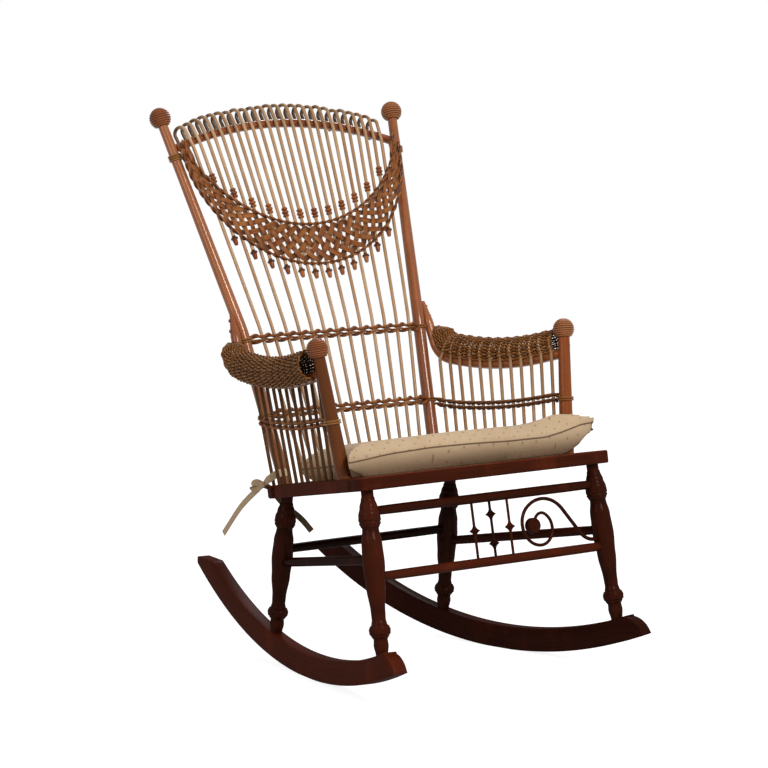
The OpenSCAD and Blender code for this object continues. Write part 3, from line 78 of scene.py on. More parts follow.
# %% [markdown]
# ## Surfaces from rings
#
# Turned wood, reed, rope and boards all have one thing in common: a closed ring of points is
# carried along a line. One function joins such rings to a closed skin, for one bar or for a whole
# row of bars at once. It also keeps three notes on every point, which the finishes read later:
# `grain`, the place in the bar's own wood, `tone`, one shade for each bar, which a few pieces also
# use for painted light, and `grime`, how dark the point is painted, for grime in corners
# and for painted shade in recesses, under other parts and on sides turned from the lamps.

# %% Rings to a skin
def skin(rings, ends, across, run, tone=None, grime=0.0):
    """Rings (bars, n, m, 3): each ring is joined to the next with quads, and each end is closed
    with a fan round its middle. The faces are turned if the first bar's volume is negative."""
    k, n, m = rings.shape[:3]
    points = np.concatenate([rings.reshape(k, n * m, 3), ends], axis=1)
    i, j = [g.ravel() for g in np.meshgrid(np.arange(n - 1), np.arange(m), indexing="ij")]
    q = (j + 1) % m
    walls = np.stack([i * m + j, i * m + q, (i + 1) * m + q, (i + 1) * m + j], -1)
    j, q = np.arange(m), (np.arange(m) + 1) % m
    fans = np.concatenate([np.stack([0 * j + n * m, q, j], -1),
                           np.stack([0 * j + n * m + 1, (n - 1) * m + j, (n - 1) * m + q], -1)])
    first = points[0] - points[0].mean(0)
    thirds = np.concatenate([walls[:, :3], walls[:, [0, 2, 3]], fans])
    volume = np.einsum("ij,ij->", first[thirds[:, 0]],
                       np.cross(first[thirds[:, 1]], first[thirds[:, 2]]))
    if volume < 0:
        walls, fans = walls[:, ::-1], fans[:, ::-1]
    step = (n * m + 2) * np.arange(k)[:, None, None]
    grain = np.zeros((k, n * m + 2, 3))
    grain[:, :n * m, :2] = np.broadcast_to(across, (k, n, m, 2)).reshape(k, n * m, 2)
    grain[:, :n * m, 2] = np.repeat(np.broadcast_to(run, (k, n)), m, axis=1)
    grain[:, n * m:, 2] = np.broadcast_to(run, (k, n))[:, [0, -1]]
    grain += rng.uniform(0, 2000, (k, 1, 3))
    tone = rng.random(k) if tone is None else np.broadcast_to(tone, (k,))
    # The dark note holds grime and painted shade, the same all round each ring.
    dirt_and_shade = np.zeros((k, n * m + 2))
    dirt_and_shade[:, :n * m] = np.repeat(np.broadcast_to(grime, (k, n)), m, axis=1)
    return {"points": points.reshape(-1, 3), "walls": (walls + step).reshape(-1, 4),
            "fans": (fans + step).reshape(-1, 3), "grain": grain.reshape(-1, 3),
            "tone": np.repeat(tone, n * m + 2), "grime": dirt_and_shade.ravel()}


def mirrored(shape):
    """The same shape on the other side: x changes its sign and the faces turn round."""
    other = dict(shape)
    other["points"] = shape["points"] * [-1, 1, 1]
    other["walls"] = shape["walls"][:, ::-1]
    other["fans"] = shape["fans"][:, ::-1]
    other["grain"] = shape["grain"] + rng.uniform(0, 900, 3)
    other["tone"] = (shape["tone"] + 0.37) % 1
    return other


def shaded(shape, amount):
    """The same skin with painted shade: the dark note becomes 1 - (1 - note)(1 - amount)."""
    return dict(shape, grime=1 - (1 - shape["grime"]) * (1 - amount))


# %% [markdown]
# ## Profiles and bars
#
# A profile is a small closed outline: round for wood and reed, a soft rectangle for flat reed and
# cloth. A bar carries it along a path. The profile's first axis leans towards a given direction,
# made square to the path, so a bar never twists by itself. Turned work is simpler still: rings
# round one straight axis, with a radius for every height.

# %% Profiles, bars and turnings
def round_profile(radius, around):
    """A circle: radius times cosine and sine of evenly spaced angles."""
    q = 2 * pi * np.arange(around) / around
    return radius * np.stack([np.cos(q), np.sin(q)], -1)


def band_profile(half_a, half_b, around, power):
    """A soft rectangle: each coordinate is the circle's, raised to 2 / power with its sign kept."""
    q = 2 * pi * (np.arange(around) + 0.5) / around
    c, s = np.cos(q), np.sin(q)
    return np.stack([half_a * np.sign(c) * abs(c) ** (2 / power),
                     half_b * np.sign(s) * abs(s) ** (2 / power)], -1)


def bars(path, profile, lead, size=1.0, tone=None, grime=0.0):
    """Each point of each path (bars, n, 3) carries the profile: path + a times its first number
    + b times its second, where a is lead made square to the path and b is square to both."""
    path = np.asarray(path, float)
    path = path[None] if path.ndim == 2 else path
    k, n = path.shape[:2]
    along = unit(np.gradient(path, axis=1))
    lead = np.broadcast_to(lead, path.shape)
    a = unit(lead - (lead * along).sum(-1, keepdims=True) * along)
    b = np.cross(along, a)
    profile = np.asarray(profile) * np.broadcast_to(size, (k, n))[..., None, None]
    rings = path[:, :, None] + profile[..., :1] * a[:, :, None] + profile[..., 1:] * b[:, :, None]
    steps = np.linalg.norm(np.diff(path, axis=1), axis=-1)
    run = np.concatenate([np.zeros((k, 1)), np.cumsum(steps, axis=1)], axis=1)
    return skin(rings, path[:, [0, -1]], profile, run, tone, grime)


def turned(heights, radii, foot, head, around, tone=None, grime=0.0):
    """Rings round the line from foot to head: foot + height along it + radius times the circle."""
    foot, head = np.atleast_2d(foot).astype(float), np.atleast_2d(head).astype(float)
    axis = unit(head - foot)
    lead = np.where(abs(axis[:, 2:]) > 0.7, [[1.0, 0, 0]], [[0, 0, 1.0]])
    a = unit(lead - (lead * axis).sum(-1, keepdims=True) * axis)
    b = np.cross(axis, a)
    circle = round_profile(1.0, around)
    across = np.asarray(radii)[None, :, None, None] * circle
    rings = (foot[:, None, None] + np.asarray(heights)[None, :, None, None] * axis[:, None, None]
             + across[..., :1] * a[:, None, None] + across[..., 1:] * b[:, None, None])
    ends = foot[:, None] + np.asarray([heights[0], heights[-1]])[None, :, None] * axis[:, None]
    run = np.broadcast_to(heights, (len(foot), len(heights)))
    return skin(rings, ends, across, run, tone, grime)


def eased(marks, per=6):
    """Turning marks (share, size) become a flowing outline: between two marks the size follows
    half a cosine wave, in `per` steps."""
    marks = np.asarray(marks, float)
    t = np.arange(per) / per
    at = marks[:-1, :1] + np.diff(marks[:, 0])[:, None] * t
    size = marks[:-1, 1:] + np.diff(marks[:, 1])[:, None] * (1 - np.cos(pi * t)) / 2
    return np.append(at, marks[-1, 0]), np.append(size, marks[-1, 1])


def flowing(points, n):
    """A smooth path through points: between two of them a cubic whose slope at each point is half
    the step between its neighbours."""
    p = np.asarray(points, float)
    p = np.concatenate([2 * p[:1] - p[1:2], p, 2 * p[-1:] - p[-2:-1]])
    u = np.linspace(0, len(p) - 3, n)
    i = np.minimum(u.astype(int), len(p) - 4)
    t = (u - i)[:, None]
    a, b, c, d = p[i], p[i + 1], p[i + 2], p[i + 3]
    return 0.5 * (2 * b + (c - a) * t + (2 * a - 5 * b + 4 * c - d) * t ** 2
                  + (3 * b - a - 3 * c + d) * t ** 3)


def bent(steps, d):
    """Place and heading at distances d along straights [length, 0] and arcs [radius, turn]: each
    stretch starts where the one before it ends, and the last one runs on."""
    d = np.asarray(d, float)
    x, y, h = np.zeros_like(d), np.zeros_like(d), np.zeros_like(d)
    start, at = 0.0, (0.0, 0.0, 0.0)
    for size, turn in steps:
        turn = radians(turn)
        full = size if turn == 0 else size * abs(turn)
        for s, write in ((d - start, True), (full, False)):
            a = 0 * s if turn == 0 else s / size
            dx = s if turn == 0 else size * np.sin(a)
            dy = 0 * s if turn == 0 else np.sign(turn) * size * (1 - np.cos(a))
            px = at[0] + dx * cos(at[2]) - dy * sin(at[2])
            py = at[1] + dx * sin(at[2]) + dy * cos(at[2])
            ph = at[2] + np.sign(turn) * a
            if write:
                on = d >= start
                x, y, h = np.where(on, px, x), np.where(on, py, y), np.where(on, ph, h)
        start, at = start + full, (float(px), float(py), float(ph))
    return x, y, h


# %% [markdown]
# ## Finishes
#
# The chair has few finishes, and all are thin varnish over something fibrous. Two effects come
# back in every one of them, so they are shader groups: a figure of long streaks with fine pores,
# stretched along the piece's own grain, and handling, which is large soft patches where hands have
# rubbed or dust has settled. The shader itself stays in each material with its own numbers.

# %% Colours and groups
def colour(text):
    """A colour written as six hex digits, turned to light: the lower part of the scale is divided
    by 12.92, the upper part is the 2.4th power."""
    v = np.array([int(text[i:i + 2], 16) for i in (0, 2, 4)]) / 255
    v = np.where(v <= 0.04045, v / 12.92, ((v + 0.055) / 1.055) ** 2.4)
    return (*v.tolist(), 1.0)


def new_group(name, inputs, outputs):
    """An empty shader group with named sockets; gives its tree, its entry and its exit."""
    tree = bpy.data.node_groups.new(name, "ShaderNodeTree")
    for label, kind, value in inputs:
        socket = tree.interface.new_socket(label, in_out="INPUT", socket_type=kind)
        if value is not None:
            socket.default_value = value
    for label, kind in outputs:
        tree.interface.new_socket(label, in_out="OUTPUT", socket_type=kind)
    return tree, tree.nodes.new("NodeGroupInput"), tree.nodes.new("NodeGroupOutput")


def node(tree, kind, inputs=(), **settings):
    """A node with its settings; each input is a value or another node's socket."""
    made = tree.nodes.new(kind)
    for key, value in settings.items():
        setattr(made, key, value)
    for key, value in dict(inputs).items():
        if isinstance(value, bpy.types.NodeSocket):
            tree.links.new(value, made.inputs[key])
        else:
            made.inputs[key].default_value = value
    return made


figure, enter, leave = new_group(
    "wood_figure",
    [("Place", "NodeSocketVector", None), ("Across", "NodeSocketFloat", 300.0),
     ("Along", "NodeSocketFloat", 8.0)],
    [("Figure", "NodeSocketFloat"), ("Pores", "NodeSocketFloat")])
scale = node(figure, "ShaderNodeCombineXYZ",
             {"X": enter.outputs["Across"], "Y": enter.outputs["Across"],
               "Z": enter.outputs["Along"]})
stretched = node(figure, "ShaderNodeVectorMath",
                 {0: enter.outputs["Place"], 1: scale.outputs[0]}, operation="MULTIPLY")
streaks = node(figure, "ShaderNodeTexNoise",
               {"Vector": stretched.outputs[0], "Scale": 1.0, "Detail": 5.0, "Roughness": 0.62,
                "Distortion": 0.4})
wide = node(figure, "ShaderNodeMapRange",
            {"Value": streaks.outputs["Fac"], "From Min": 0.3, "From Max": 0.7})
finer = node(figure, "ShaderNodeVectorMath",
             {0: stretched.outputs[0], 1: (3.4, 3.4, 1.9)}, operation="MULTIPLY")
pores = node(figure, "ShaderNodeTexNoise",
             {"Vector": finer.outputs[0], "Scale": 1.0, "Detail": 3.0, "Roughness": 0.7})
open_pores = node(figure, "ShaderNodeMapRange",
                  {"Value": pores.outputs["Fac"], "From Min": 0.56, "From Max": 0.7})
figure.links.new(wide.outputs[0], leave.inputs["Figure"])
figure.links.new(open_pores.outputs[0], leave.inputs["Pores"])

handling, enter, leave = new_group(
    "handling", [("Place", "NodeSocketVector", None), ("Patch", "NodeSocketFloat", 14.0)],
    [("Rubbed", "NodeSocketFloat"), ("Dusty", "NodeSocketFloat")])
for label, low, high, offset in (("Rubbed", 0.52, 0.72, 0.0), ("Dusty", 0.45, 0.75, 31.0)):
    moved = node(handling, "ShaderNodeVectorMath",
                 {0: enter.outputs["Place"], 1: (offset, offset, offset)}, operation="ADD")
    patch = node(handling, "ShaderNodeTexNoise",
                 {"Vector": moved.outputs[0], "Scale": enter.outputs["Patch"], "Detail": 4.0,
                  "Roughness": 0.6})
    mask = node(handling, "ShaderNodeMapRange",
                {"Value": patch.outputs["Fac"], "From Min": low, "From Max": high})
    handling.links.new(mask.outputs[0], leave.inputs[label])
print("shader groups", figure.name, handling.name)

# %% [markdown]
# A finish then mixes four colours: deep and body by the figure, towards light by the piece's own
# tone, and down to a dark colour for grime in the corners and for painted shade. The varnish is a
# clear coat over a duller base, and the pores also dent the surface a little, so a highlight breaks
# up along the grain.

# %% Fibrous finishes
def mixed(tree, factor, a, b):
    """Colour a turned into colour b by a factor."""
    made = tree.nodes.new("ShaderNodeMix")
    made.data_type = "RGBA"
    for socket, value in ((made.inputs[0], factor), (made.inputs[6], a), (made.inputs[7], b)):
        if isinstance(value, bpy.types.NodeSocket):
            tree.links.new(value, socket)
        else:
            socket.default_value = value
    return made.outputs[2]


def finish(name, deep, body, light, grime, across, along, rough, coat, coat_rough, dent,
           specular=0.3, tint="ffffff"):
    """A varnished fibrous material: figure, tone, grime and painted shade, rubbed patches, pores and
    a clear coat. deep to the darkest are its colours, the darkest one for grime and painted shade,
    across and along the figure's scales, rough the roughness where it is handled and where it is
    dusty, and dent the depth of the relief in metres."""
    material = bpy.data.materials.new(name)
    material.use_nodes = True
    tree = material.node_tree
    shader = tree.nodes["Principled BSDF"]
    grain = node(tree, "ShaderNodeAttribute", attribute_name="grain")
    tone = node(tree, "ShaderNodeAttribute", attribute_name="tone")
    dirt_and_shade = node(tree, "ShaderNodeAttribute", attribute_name="grime")
    place = node(tree, "ShaderNodeTexCoord")
    wood = node(tree, "ShaderNodeGroup", node_tree=figure)
    tree.links.new(grain.outputs["Vector"], wood.inputs["Place"])
    wood.inputs["Across"].default_value = across
    wood.inputs["Along"].default_value = along
    hand = node(tree, "ShaderNodeGroup", node_tree=handling)
    tree.links.new(place.outputs["Object"], hand.inputs["Place"])
    shade = mixed(tree, wood.outputs["Figure"], colour(deep), colour(body))
    lift = node(tree, "ShaderNodeMath", {0: tone.outputs["Fac"], 1: 0.55}, operation="MULTIPLY")
    rubbed = node(tree, "ShaderNodeMath", {0: hand.outputs["Rubbed"], 1: 0.35},
                  operation="MULTIPLY")
    lifted = node(tree, "ShaderNodeMath", {0: lift.outputs[0], 1: rubbed.outputs[0]},
                  operation="ADD", use_clamp=True)
    shade = mixed(tree, lifted.outputs[0], shade, colour(light))
    dusky = node(tree, "ShaderNodeMath", {0: wood.outputs["Pores"], 1: 0.45}, operation="MULTIPLY")
    # The dark note mixes in grime and painted shade; the pores add the wood's own dark flecks.
    dark = node(tree, "ShaderNodeMath", {0: dusky.outputs[0], 1: dirt_and_shade.outputs["Fac"]},
                operation="MAXIMUM")
    shade = mixed(tree, dark.outputs[0], shade, colour(grime))
    tree.links.new(shade, shader.inputs["Base Color"])
    dull = node(tree, "ShaderNodeMapRange",
                {"Value": hand.outputs["Dusty"], "To Min": rough[0], "To Max": rough[1]})
    tree.links.new(dull.outputs[0], shader.inputs["Roughness"])
    relief = node(tree, "ShaderNodeMath", {0: wood.outputs["Figure"], 1: wood.outputs["Pores"]},
                  operation="SUBTRACT")
    bump = node(tree, "ShaderNodeBump",
                {"Height": relief.outputs[0], "Strength": 0.6, "Distance": dent})
    tree.links.new(bump.outputs[0], shader.inputs["Normal"])
    shader.inputs["Coat Weight"].default_value = coat
    shader.inputs["Coat Roughness"].default_value = coat_rough
    shader.inputs["Specular IOR Level"].default_value = specular
    shader.inputs["Specular Tint"].default_value = colour(tint)
    return material


POST_WOOD = finish(
    "varnished_post_wood", deep="6a3216", body="a0542a", light="b8703c", grime="2a1208",
    across=260, along=5, rough=(0.28, 0.42), coat=0.6, coat_rough=0.17,
    dent=0.0002, specular=0.1, tint="ffc080")
ARM_WOOD = finish(
    "arm_post_wood", deep="5a2410", body="90441a", light="ac6430", grime="1a0a04",
    across=260, along=5, rough=(0.3, 0.45), coat=0.2, coat_rough=0.18,
    dent=0.0002, specular=0.02, tint="ffb070")
FRAME_WOOD = finish(
    "dark_frame_wood", deep="280e06", body="3e180a", light="6e2e18", grime="0c0402",
    across=240, along=5, rough=(0.3, 0.46), coat=0.06, coat_rough=0.2,
    dent=0.00025, specular=0.0, tint="ff9a5c")
ROCKER_WOOD = finish(
    "worn_rocker_wood", deep="32120a", body="4a1c0d", light="74311a", grime="120604",
    across=200, along=4, rough=(0.36, 0.55), coat=0.05, coat_rough=0.26,
    dent=0.0003, specular=0.0, tint="ff9a5c")
REED = finish(
    "round_reed", deep="8a5c34", body="c49468", light="dcb890", grime="34200f",
    across=700, along=10, rough=(0.34, 0.52), coat=0.3, coat_rough=0.2,
    dent=0.00015, specular=0.16, tint="ffe0c4")
WRAP_REED = finish(
    "golden_wrap_reed", deep="5e3214", body="945824", light="b07c42", grime="2a1408",
    across=700, along=10, rough=(0.32, 0.5), coat=0.22, coat_rough=0.2,
    dent=0.00015, specular=0.14, tint="ffd8b0")
WOVEN = finish(
    "woven_reed", deep="582a10", body="8e4c22", light="b4743e", grime="1c0b05",
    across=900, along=14, rough=(0.34, 0.52), coat=0.16, coat_rough=0.22,
    dent=0.00015, specular=0.12, tint="ffd0a4")
# A darker copy of the reed, for painted shade on the left arm's sticks.
SHADED_REED = finish(
    "shaded_reed", deep="5a361c", body="92613f", light="a87850", grime="160b05",
    across=700, along=10, rough=(0.36, 0.55), coat=0.12, coat_rough=0.22,
    dent=0.00015, specular=0.03, tint="ffd0a4")
BALL_REED = finish(
    "ball_reed", deep="6a3216", body="9a5630", light="b87c50", grime="2a1006",
    across=900, along=14, rough=(0.3, 0.46), coat=0.3, coat_rough=0.17,
    dent=0.00015, specular=0.1, tint="ffd0a4")
ROLL_REED = finish(
    "dark_woven_reed", deep="5c3412", body="9c602e", light="c48a54", grime="0e0602",
    across=900, along=14, rough=(0.34, 0.5), coat=0.16, coat_rough=0.17,
    dent=0.00015, specular=0.03, tint="ffd0a4")
TURNED = finish(
    "turned_bead_wood", deep="5e2410", body="964a20", light="bc7438", grime="240d06",
    across=500, along=9, rough=(0.28, 0.45), coat=0.25, coat_rough=0.16,
    dent=0.0001, specular=0.14, tint="ffcea0")
CANE = finish(
    "seat_cane", deep="8a5c30", body="a87c48", light="c09a66", grime="4a2e18",
    across=900, along=12, rough=(0.4, 0.6), coat=0.2, coat_rough=0.3, dent=0.0001)
print("finishes", [m.name for m in bpy.data.materials if m.use_nodes])

# %% [markdown]
# One function makes a piece of any number of skins: it puts their points in place, writes the
# notes for the finish, smooths the skin except over sharp corners, hangs the piece on the root
# body, and hides the plain construction nodes it stands for. Most of a chair comes in pairs, so a
# second function makes a piece on the right and its mirror image.

# %% Skins to a piece
SHARP_CORNER = radians(38)


def piece(name, shapes, material, nodes=()):
    """Joins skins into one mesh: points are stacked and face numbers shifted by those before."""
    shapes = [shapes] if isinstance(shapes, dict) else list(shapes)
    starts = np.cumsum([0] + [len(s["points"]) for s in shapes])
    walls = np.concatenate([s["walls"] + at for s, at in zip(shapes, starts)])
    fans = np.concatenate([s["fans"] + at for s, at in zip(shapes, starts)])
    mesh = bpy.data.meshes.new(name)
    points = in_place(np.concatenate([s["points"] for s in shapes]))
    mesh.from_pydata(points.tolist(), [], walls.tolist() + fans.tolist())
    mesh.polygons.foreach_set("use_smooth", np.ones(len(mesh.polygons), bool))
    mesh.set_sharp_from_angle(angle=SHARP_CORNER)
    grain = np.concatenate([s["grain"] for s in shapes]) * MM
    mesh.attributes.new("grain", "FLOAT_VECTOR", "POINT").data.foreach_set("vector", grain.ravel())
    for key in ("tone", "grime"):
        values = np.concatenate([s[key] for s in shapes])
        mesh.attributes.new(key, "FLOAT", "POINT").data.foreach_set("value", values)
    mesh.materials.append(material)
    made = bpy.data.objects.new(name, mesh)
    bpy.context.scene.collection.objects.link(made)
    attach(made, "root")
    if nodes:
        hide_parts(*nodes)
    print(f"{name}: {len(mesh.vertices)} points, {len(walls) * 2 + len(fans)} triangles")
    return made


def both_sides(name, shapes, material, node_name, right=0.0, left=0.0):
    """A piece on the right and its mirror image on the left. {} in the names stands for the side,
    and the numbers say how much painted shade each side gets."""
    shapes = [shapes] if isinstance(shapes, dict) else shapes
    for side, other, amount in (("right", dict, right), ("left", mirrored, left)):
        made = [other(s) for s in shapes]
        piece(name.format(side), [shaded(s, amount) if amount else s for s in made], material,
              [node_name.format(side)])


# %% [markdown]
# ## Camera and light
#
# The photograph is taken from well in front, to the sitter's right hand side, with a long lens a
# little above the arms. Its background is white, so floor and surroundings are white to the camera
# and to reflections, and plain soft light to everything else. One large lamp to the right of the
# camera gives the posts their long streaks, and two weaker ones, from the left and from behind,
# keep the far side from going black.

# %% Camera, lamps, floor
camera = bpy.data.objects.new("camera", bpy.data.cameras.new("camera"))
camera.data.lens, camera.data.sensor_width = 154.7, 36.0
camera.location = (-3.9110, -5.0267, 1.3064)
camera.rotation_euler = (radians(90 - 6.881), 0, -radians(37.791))
bpy.context.scene.collection.objects.link(camera)
bpy.context.scene.camera = camera
bpy.context.scene.view_settings.view_transform = "Standard"


def lamp(name, place, aim, size, power):
    """A square soft lamp that looks from its place to its aim."""
    light = bpy.data.lights.new(name, "AREA")
    light.size, light.energy = size, power
    made = bpy.data.objects.new(name, light)
    made.location = place
    made.rotation_euler = (Vector(aim) - Vector(place)).to_track_quat("-Z", "Y").to_euler()
    bpy.context.scene.collection.objects.link(made)


lamp("key_lamp", (-0.3, -4.0, 3.1), (0, 0, 0.55), 1.1, 128)
lamp("side_lamp", (-4.2, -0.6, 1.9), (0, 0, 0.55), 1.2, 26)
lamp("back_lamp", (2.2, 2.2, 2.8), (0, 0, 0.7), 1.2, 40)


def seen_white(tree, plain, white):
    """The white side is taken for rays that the camera, a reflection or a clear body sends."""
    path = node(tree, "ShaderNodeLightPath")
    either = node(tree, "ShaderNodeMath", {0: path.outputs["Is Camera Ray"],
                                           1: path.outputs["Is Glossy Ray"]}, operation="MAXIMUM")
    any_of = node(tree, "ShaderNodeMath",
                  {0: either.outputs[0], 1: path.outputs["Is Transmission Ray"]},
                  operation="MAXIMUM")
    mix = node(tree, "ShaderNodeMixShader", {0: any_of.outputs[0]})
    tree.links.new(plain, mix.inputs[1])
    tree.links.new(white, mix.inputs[2])
    return mix.outputs[0]


world = bpy.data.worlds.new("studio")
bpy.context.scene.world = world
world.use_nodes = True
air = world.node_tree
soft = node(air, "ShaderNodeBackground", {"Color": (1, 1, 1, 1), "Strength": 0.36})
bright = node(air, "ShaderNodeBackground", {"Color": (1, 1, 1, 1), "Strength": 1.0})
air.links.new(seen_white(air, soft.outputs[0], bright.outputs[0]),
              air.nodes["World Output"].inputs["Surface"])

floor_mesh = bpy.data.meshes.new("floor")
reach = 14.0
corners = [(-reach, -reach, 0), (reach, -reach, 0), (reach, reach, 0), (-reach, reach, 0)]
floor_mesh.from_pydata(corners, [], [(0, 1, 2, 3)])
floor = bpy.data.objects.new("floor", floor_mesh)
bpy.context.scene.collection.objects.link(floor)
pale = bpy.data.materials.new("pale_floor")
pale.use_nodes = True
ground = pale.node_tree
ground.nodes.remove(ground.nodes["Principled BSDF"])
matt = node(ground, "ShaderNodeBsdfDiffuse", {"Color": (0.4, 0.4, 0.4, 1)})
glow = node(ground, "ShaderNodeEmission", {"Color": (1, 1, 1, 1), "Strength": 0.872})
both = node(ground, "ShaderNodeAddShader")
ground.links.new(matt.outputs[0], both.inputs[0])
ground.links.new(glow.outputs[0], both.inputs[1])
ground.links.new(seen_white(ground, matt.outputs[0], both.outputs[0]),
                 ground.nodes["Material Output"].inputs["Surface"])
floor_mesh.materials.append(pale)
print("camera", [round(c, 3) for c in camera.location])

# %% [markdown]
# ## The seat's and the back's own planes
#
# The seat slopes back by 10 degrees, and the back has two planes that meet in a bend. Pieces are
# placed in these planes: x across, v back or up along the slope, w out of its face.

# %% Planes
SEAT_SLOPE, SEAT_THICK, SEAT_DEPTH = radians(10), 25.0, 424.0
SEAT_Y, SEAT_Z = -247, 393
SEAT_UP = np.array([0, sin(SEAT_SLOPE), cos(SEAT_SLOPE)])
LOWER_LEAN, UPPER_LEAN = radians(18.9), radians(23.4)


def seat_point(x, v, w):
    """From the middle of the front edge's underside: x across, v down the slope of the seat, w up
    out of it."""
    x, v, w = np.broadcast_arrays(np.asarray(x, float), v, w)
    return np.stack([x, SEAT_Y + v * cos(SEAT_SLOPE) + w * sin(SEAT_SLOPE),
                     SEAT_Z - v * sin(SEAT_SLOPE) + w * cos(SEAT_SLOPE)], -1)


def seat_v(y, w):
    """How far back along the seat a point of the drawing's y lies at height w."""
    return (y - SEAT_Y - w * sin(SEAT_SLOPE)) / cos(SEAT_SLOPE)


SEAT_X, BEND_X, TOP_X = 187.0, 218.5, 287.0
SEAT_R, BEND_R, TOP_R = 13.0, 12.0, 9.5
BEND_Z = 640
POST_BASE = seat_point(SEAT_X, 399.0, SEAT_THICK)
BEND_Y = POST_BASE[1] + tan(LOWER_LEAN) * (BEND_Z - POST_BASE[2])
LOWER_LENGTH, UPPER_LENGTH = (BEND_Z - POST_BASE[2]) / cos(LOWER_LEAN), 444.5


def back_point(lean, x, v, w):
    """From the bend line: v up the plane that leans back by `lean`, w out of its front."""
    x, v, w = np.broadcast_arrays(np.asarray(x, float), v, w)
    return np.stack([x, BEND_Y + v * sin(lean) - w * cos(lean),
                     BEND_Z + v * cos(lean) + w * sin(lean)], -1)


def post_x(v):
    """The post's distance from the middle: linear in v, with a new slope above the bend."""
    v = np.asarray(v, float)
    return BEND_X + np.where(v < 0, v * (BEND_X - SEAT_X) / LOWER_LENGTH,
                             v * (TOP_X - BEND_X) / UPPER_LENGTH)


def post_radius(v):
    """Linear too: thickest at the seat, thinnest under the ball."""
    v = np.asarray(v, float)
    return BEND_R + np.where(v < 0, -v * (SEAT_R - BEND_R) / LOWER_LENGTH,
                             v * (TOP_R - BEND_R) / UPPER_LENGTH)


def back_normal(lean):
    """The direction out of the back's front face."""
    return np.array([0, -cos(lean), sin(lean)])


def back_up(lean):
    """The direction up the back's front face."""
    return np.array([0, sin(lean), cos(lean)])


BEND = back_point(LOWER_LEAN, BEND_X, 0, 0)
BALL = back_point(UPPER_LEAN, TOP_X, UPPER_LENGTH, 0)
ARM_BASE = seat_point(272.0, seat_v(-150.0, SEAT_THICK), SEAT_THICK)
ARM_BALL = np.array([300.0, -105.0, 640.0])
ARM_AXIS = unit(ARM_BALL - ARM_BASE)
ARM_JOINT = ARM_BASE + ARM_AXIS * (594 - ARM_BASE[2]) / ARM_AXIS[2]
print("post base", POST_BASE.round(1), "bend", BEND.round(1), "ball", BALL.round(1))

# %% [markdown]
# ## Rockers
#
# A rocker is a board sawn to two arcs, with its edges eased, a square rear end and a rounded nose.
# For every station along it the bottom and the top height are known, so it is a row of soft
# rectangles whose height follows the two outlines.

# %% Rockers
OUTER, INNER, BOARD, ROCKER_X = 925.0, 879.0, 28.0, 236
NOSE_R, FLAT_HALF = 46.0, 32.0
WEAR = OUTER - (OUTER ** 2 - FLAT_HALF ** 2) ** 0.5


def arc_height(radius, s):
    """Height above the floor of an arc of that radius, s away from the contact."""
    return OUTER - np.sqrt(radius ** 2 - s ** 2)


def slab(width, height, edge):
    """A rectangle with rounded corners: quarter circles, five points each, round four centres that
    lie `edge` inside."""
    q = np.radians(np.concatenate([np.linspace(0, 90, 5) + 90 * c for c in range(4)]))
    sx, sy = np.repeat([1, -1, -1, 1], 5), np.repeat([1, 1, -1, -1], 5)
    width, height, edge = [np.asarray(a, float)[..., None] for a in (width, height, edge)]
    return np.stack(np.broadcast_arrays(sx * (width / 2 - edge) + edge * np.cos(q),
                                        sy * (height / 2 - edge) + edge * np.sin(q)), -1)


def rocker():
    """Stations from the rear end to the nose: bottom on the outer arc, top on the inner arc, cut
    level near the rear end and round at the nose."""
    nose = ROCKER_FRONT - NOSE_R
    s = np.concatenate([np.linspace(ROCKER_REAR, -nose, 90),
                        -nose - 45.2 * np.sin(np.linspace(0.05, pi / 2, 26))])
    bottom = np.maximum(arc_height(OUTER, s), WEAR)
    level = arc_height(OUTER, ROCKER_REAR) + 15
    top = np.minimum(arc_height(INNER, np.clip(s, -nose, None)), level)
    cap = arc_height(OUTER, nose) + np.sqrt(np.maximum(NOSE_R ** 2 - (s + nose) ** 2, 0))
    top = np.where(s < -nose, cap, top)
    keep = top - bottom > 1.5
    s, bottom, top = s[keep], bottom[keep], top[keep]
    edge = np.minimum(2.6, (top - bottom) * 0.45)
    profile = slab(BOARD + 0 * s, top - bottom, edge)
    c, z = profile[..., 0], profile[..., 1] + ((top + bottom) / 2 - WEAR)[:, None]
    rings = np.stack([ROCKER_X - s[:, None] * sin(TOE) + c * cos(TOE),
                      s[:, None] * cos(TOE) + c * sin(TOE), z], -1)[None]
    return skin(rings, rings[:, [0, -1]].mean(2), profile, s)


# The right rocker is painted darker all over: painted shade, as its inner face is turned from the
# lamps.
both_sides("rocker_board_{}", rocker(), ROCKER_WOOD, "{}_rocker", right=0.5)

# %% [markdown]
# ## Turned legs and stretchers
#
# The legs are turned on a lathe: a knob above the rocker, a long swelling, a groove and a second
# swelling under the seat. A turner marks the heights and sizes on a stick, and the tool flows from
# one to the next, so the outline is a list of marks joined by half cosine waves. Grime and painted
# shade sit where the outline is hollow, and the legs get painted shade under the seat as well.

# %% Legs
LEG_MARKS = [
    (0.00, 0.54), (0.06, 0.66), (0.095, 0.62), (0.115, 0.78), (0.13, 0.93), (0.155, 0.96),
    (0.175, 0.86), (0.185, 0.70), (0.215, 0.62), (0.26, 0.64), (0.42, 0.86), (0.56, 0.99),
    (0.68, 0.92), (0.77, 0.74), (0.785, 0.86), (0.80, 0.97), (0.81, 0.93), (0.82, 1.00),
    (0.85, 0.97), (0.90, 0.80), (0.95, 0.62), (0.965, 0.55), (1.00, 0.55)]
LEG_R = 21.0


def foot(y):
    """A leg's foot stands in the middle of the rocker's curved top."""
    return np.array([ROCKER_X - y * tan(TOE), y, arc_height(INNER, y / cos(TOE)) - WEAR])


FRONT_FOOT, FRONT_HEAD = foot(-283.0), seat_point(274.0, 26.0, 0)
REAR_FOOT, REAR_HEAD = foot(154.0), seat_point(202.0, 378.0, 0)


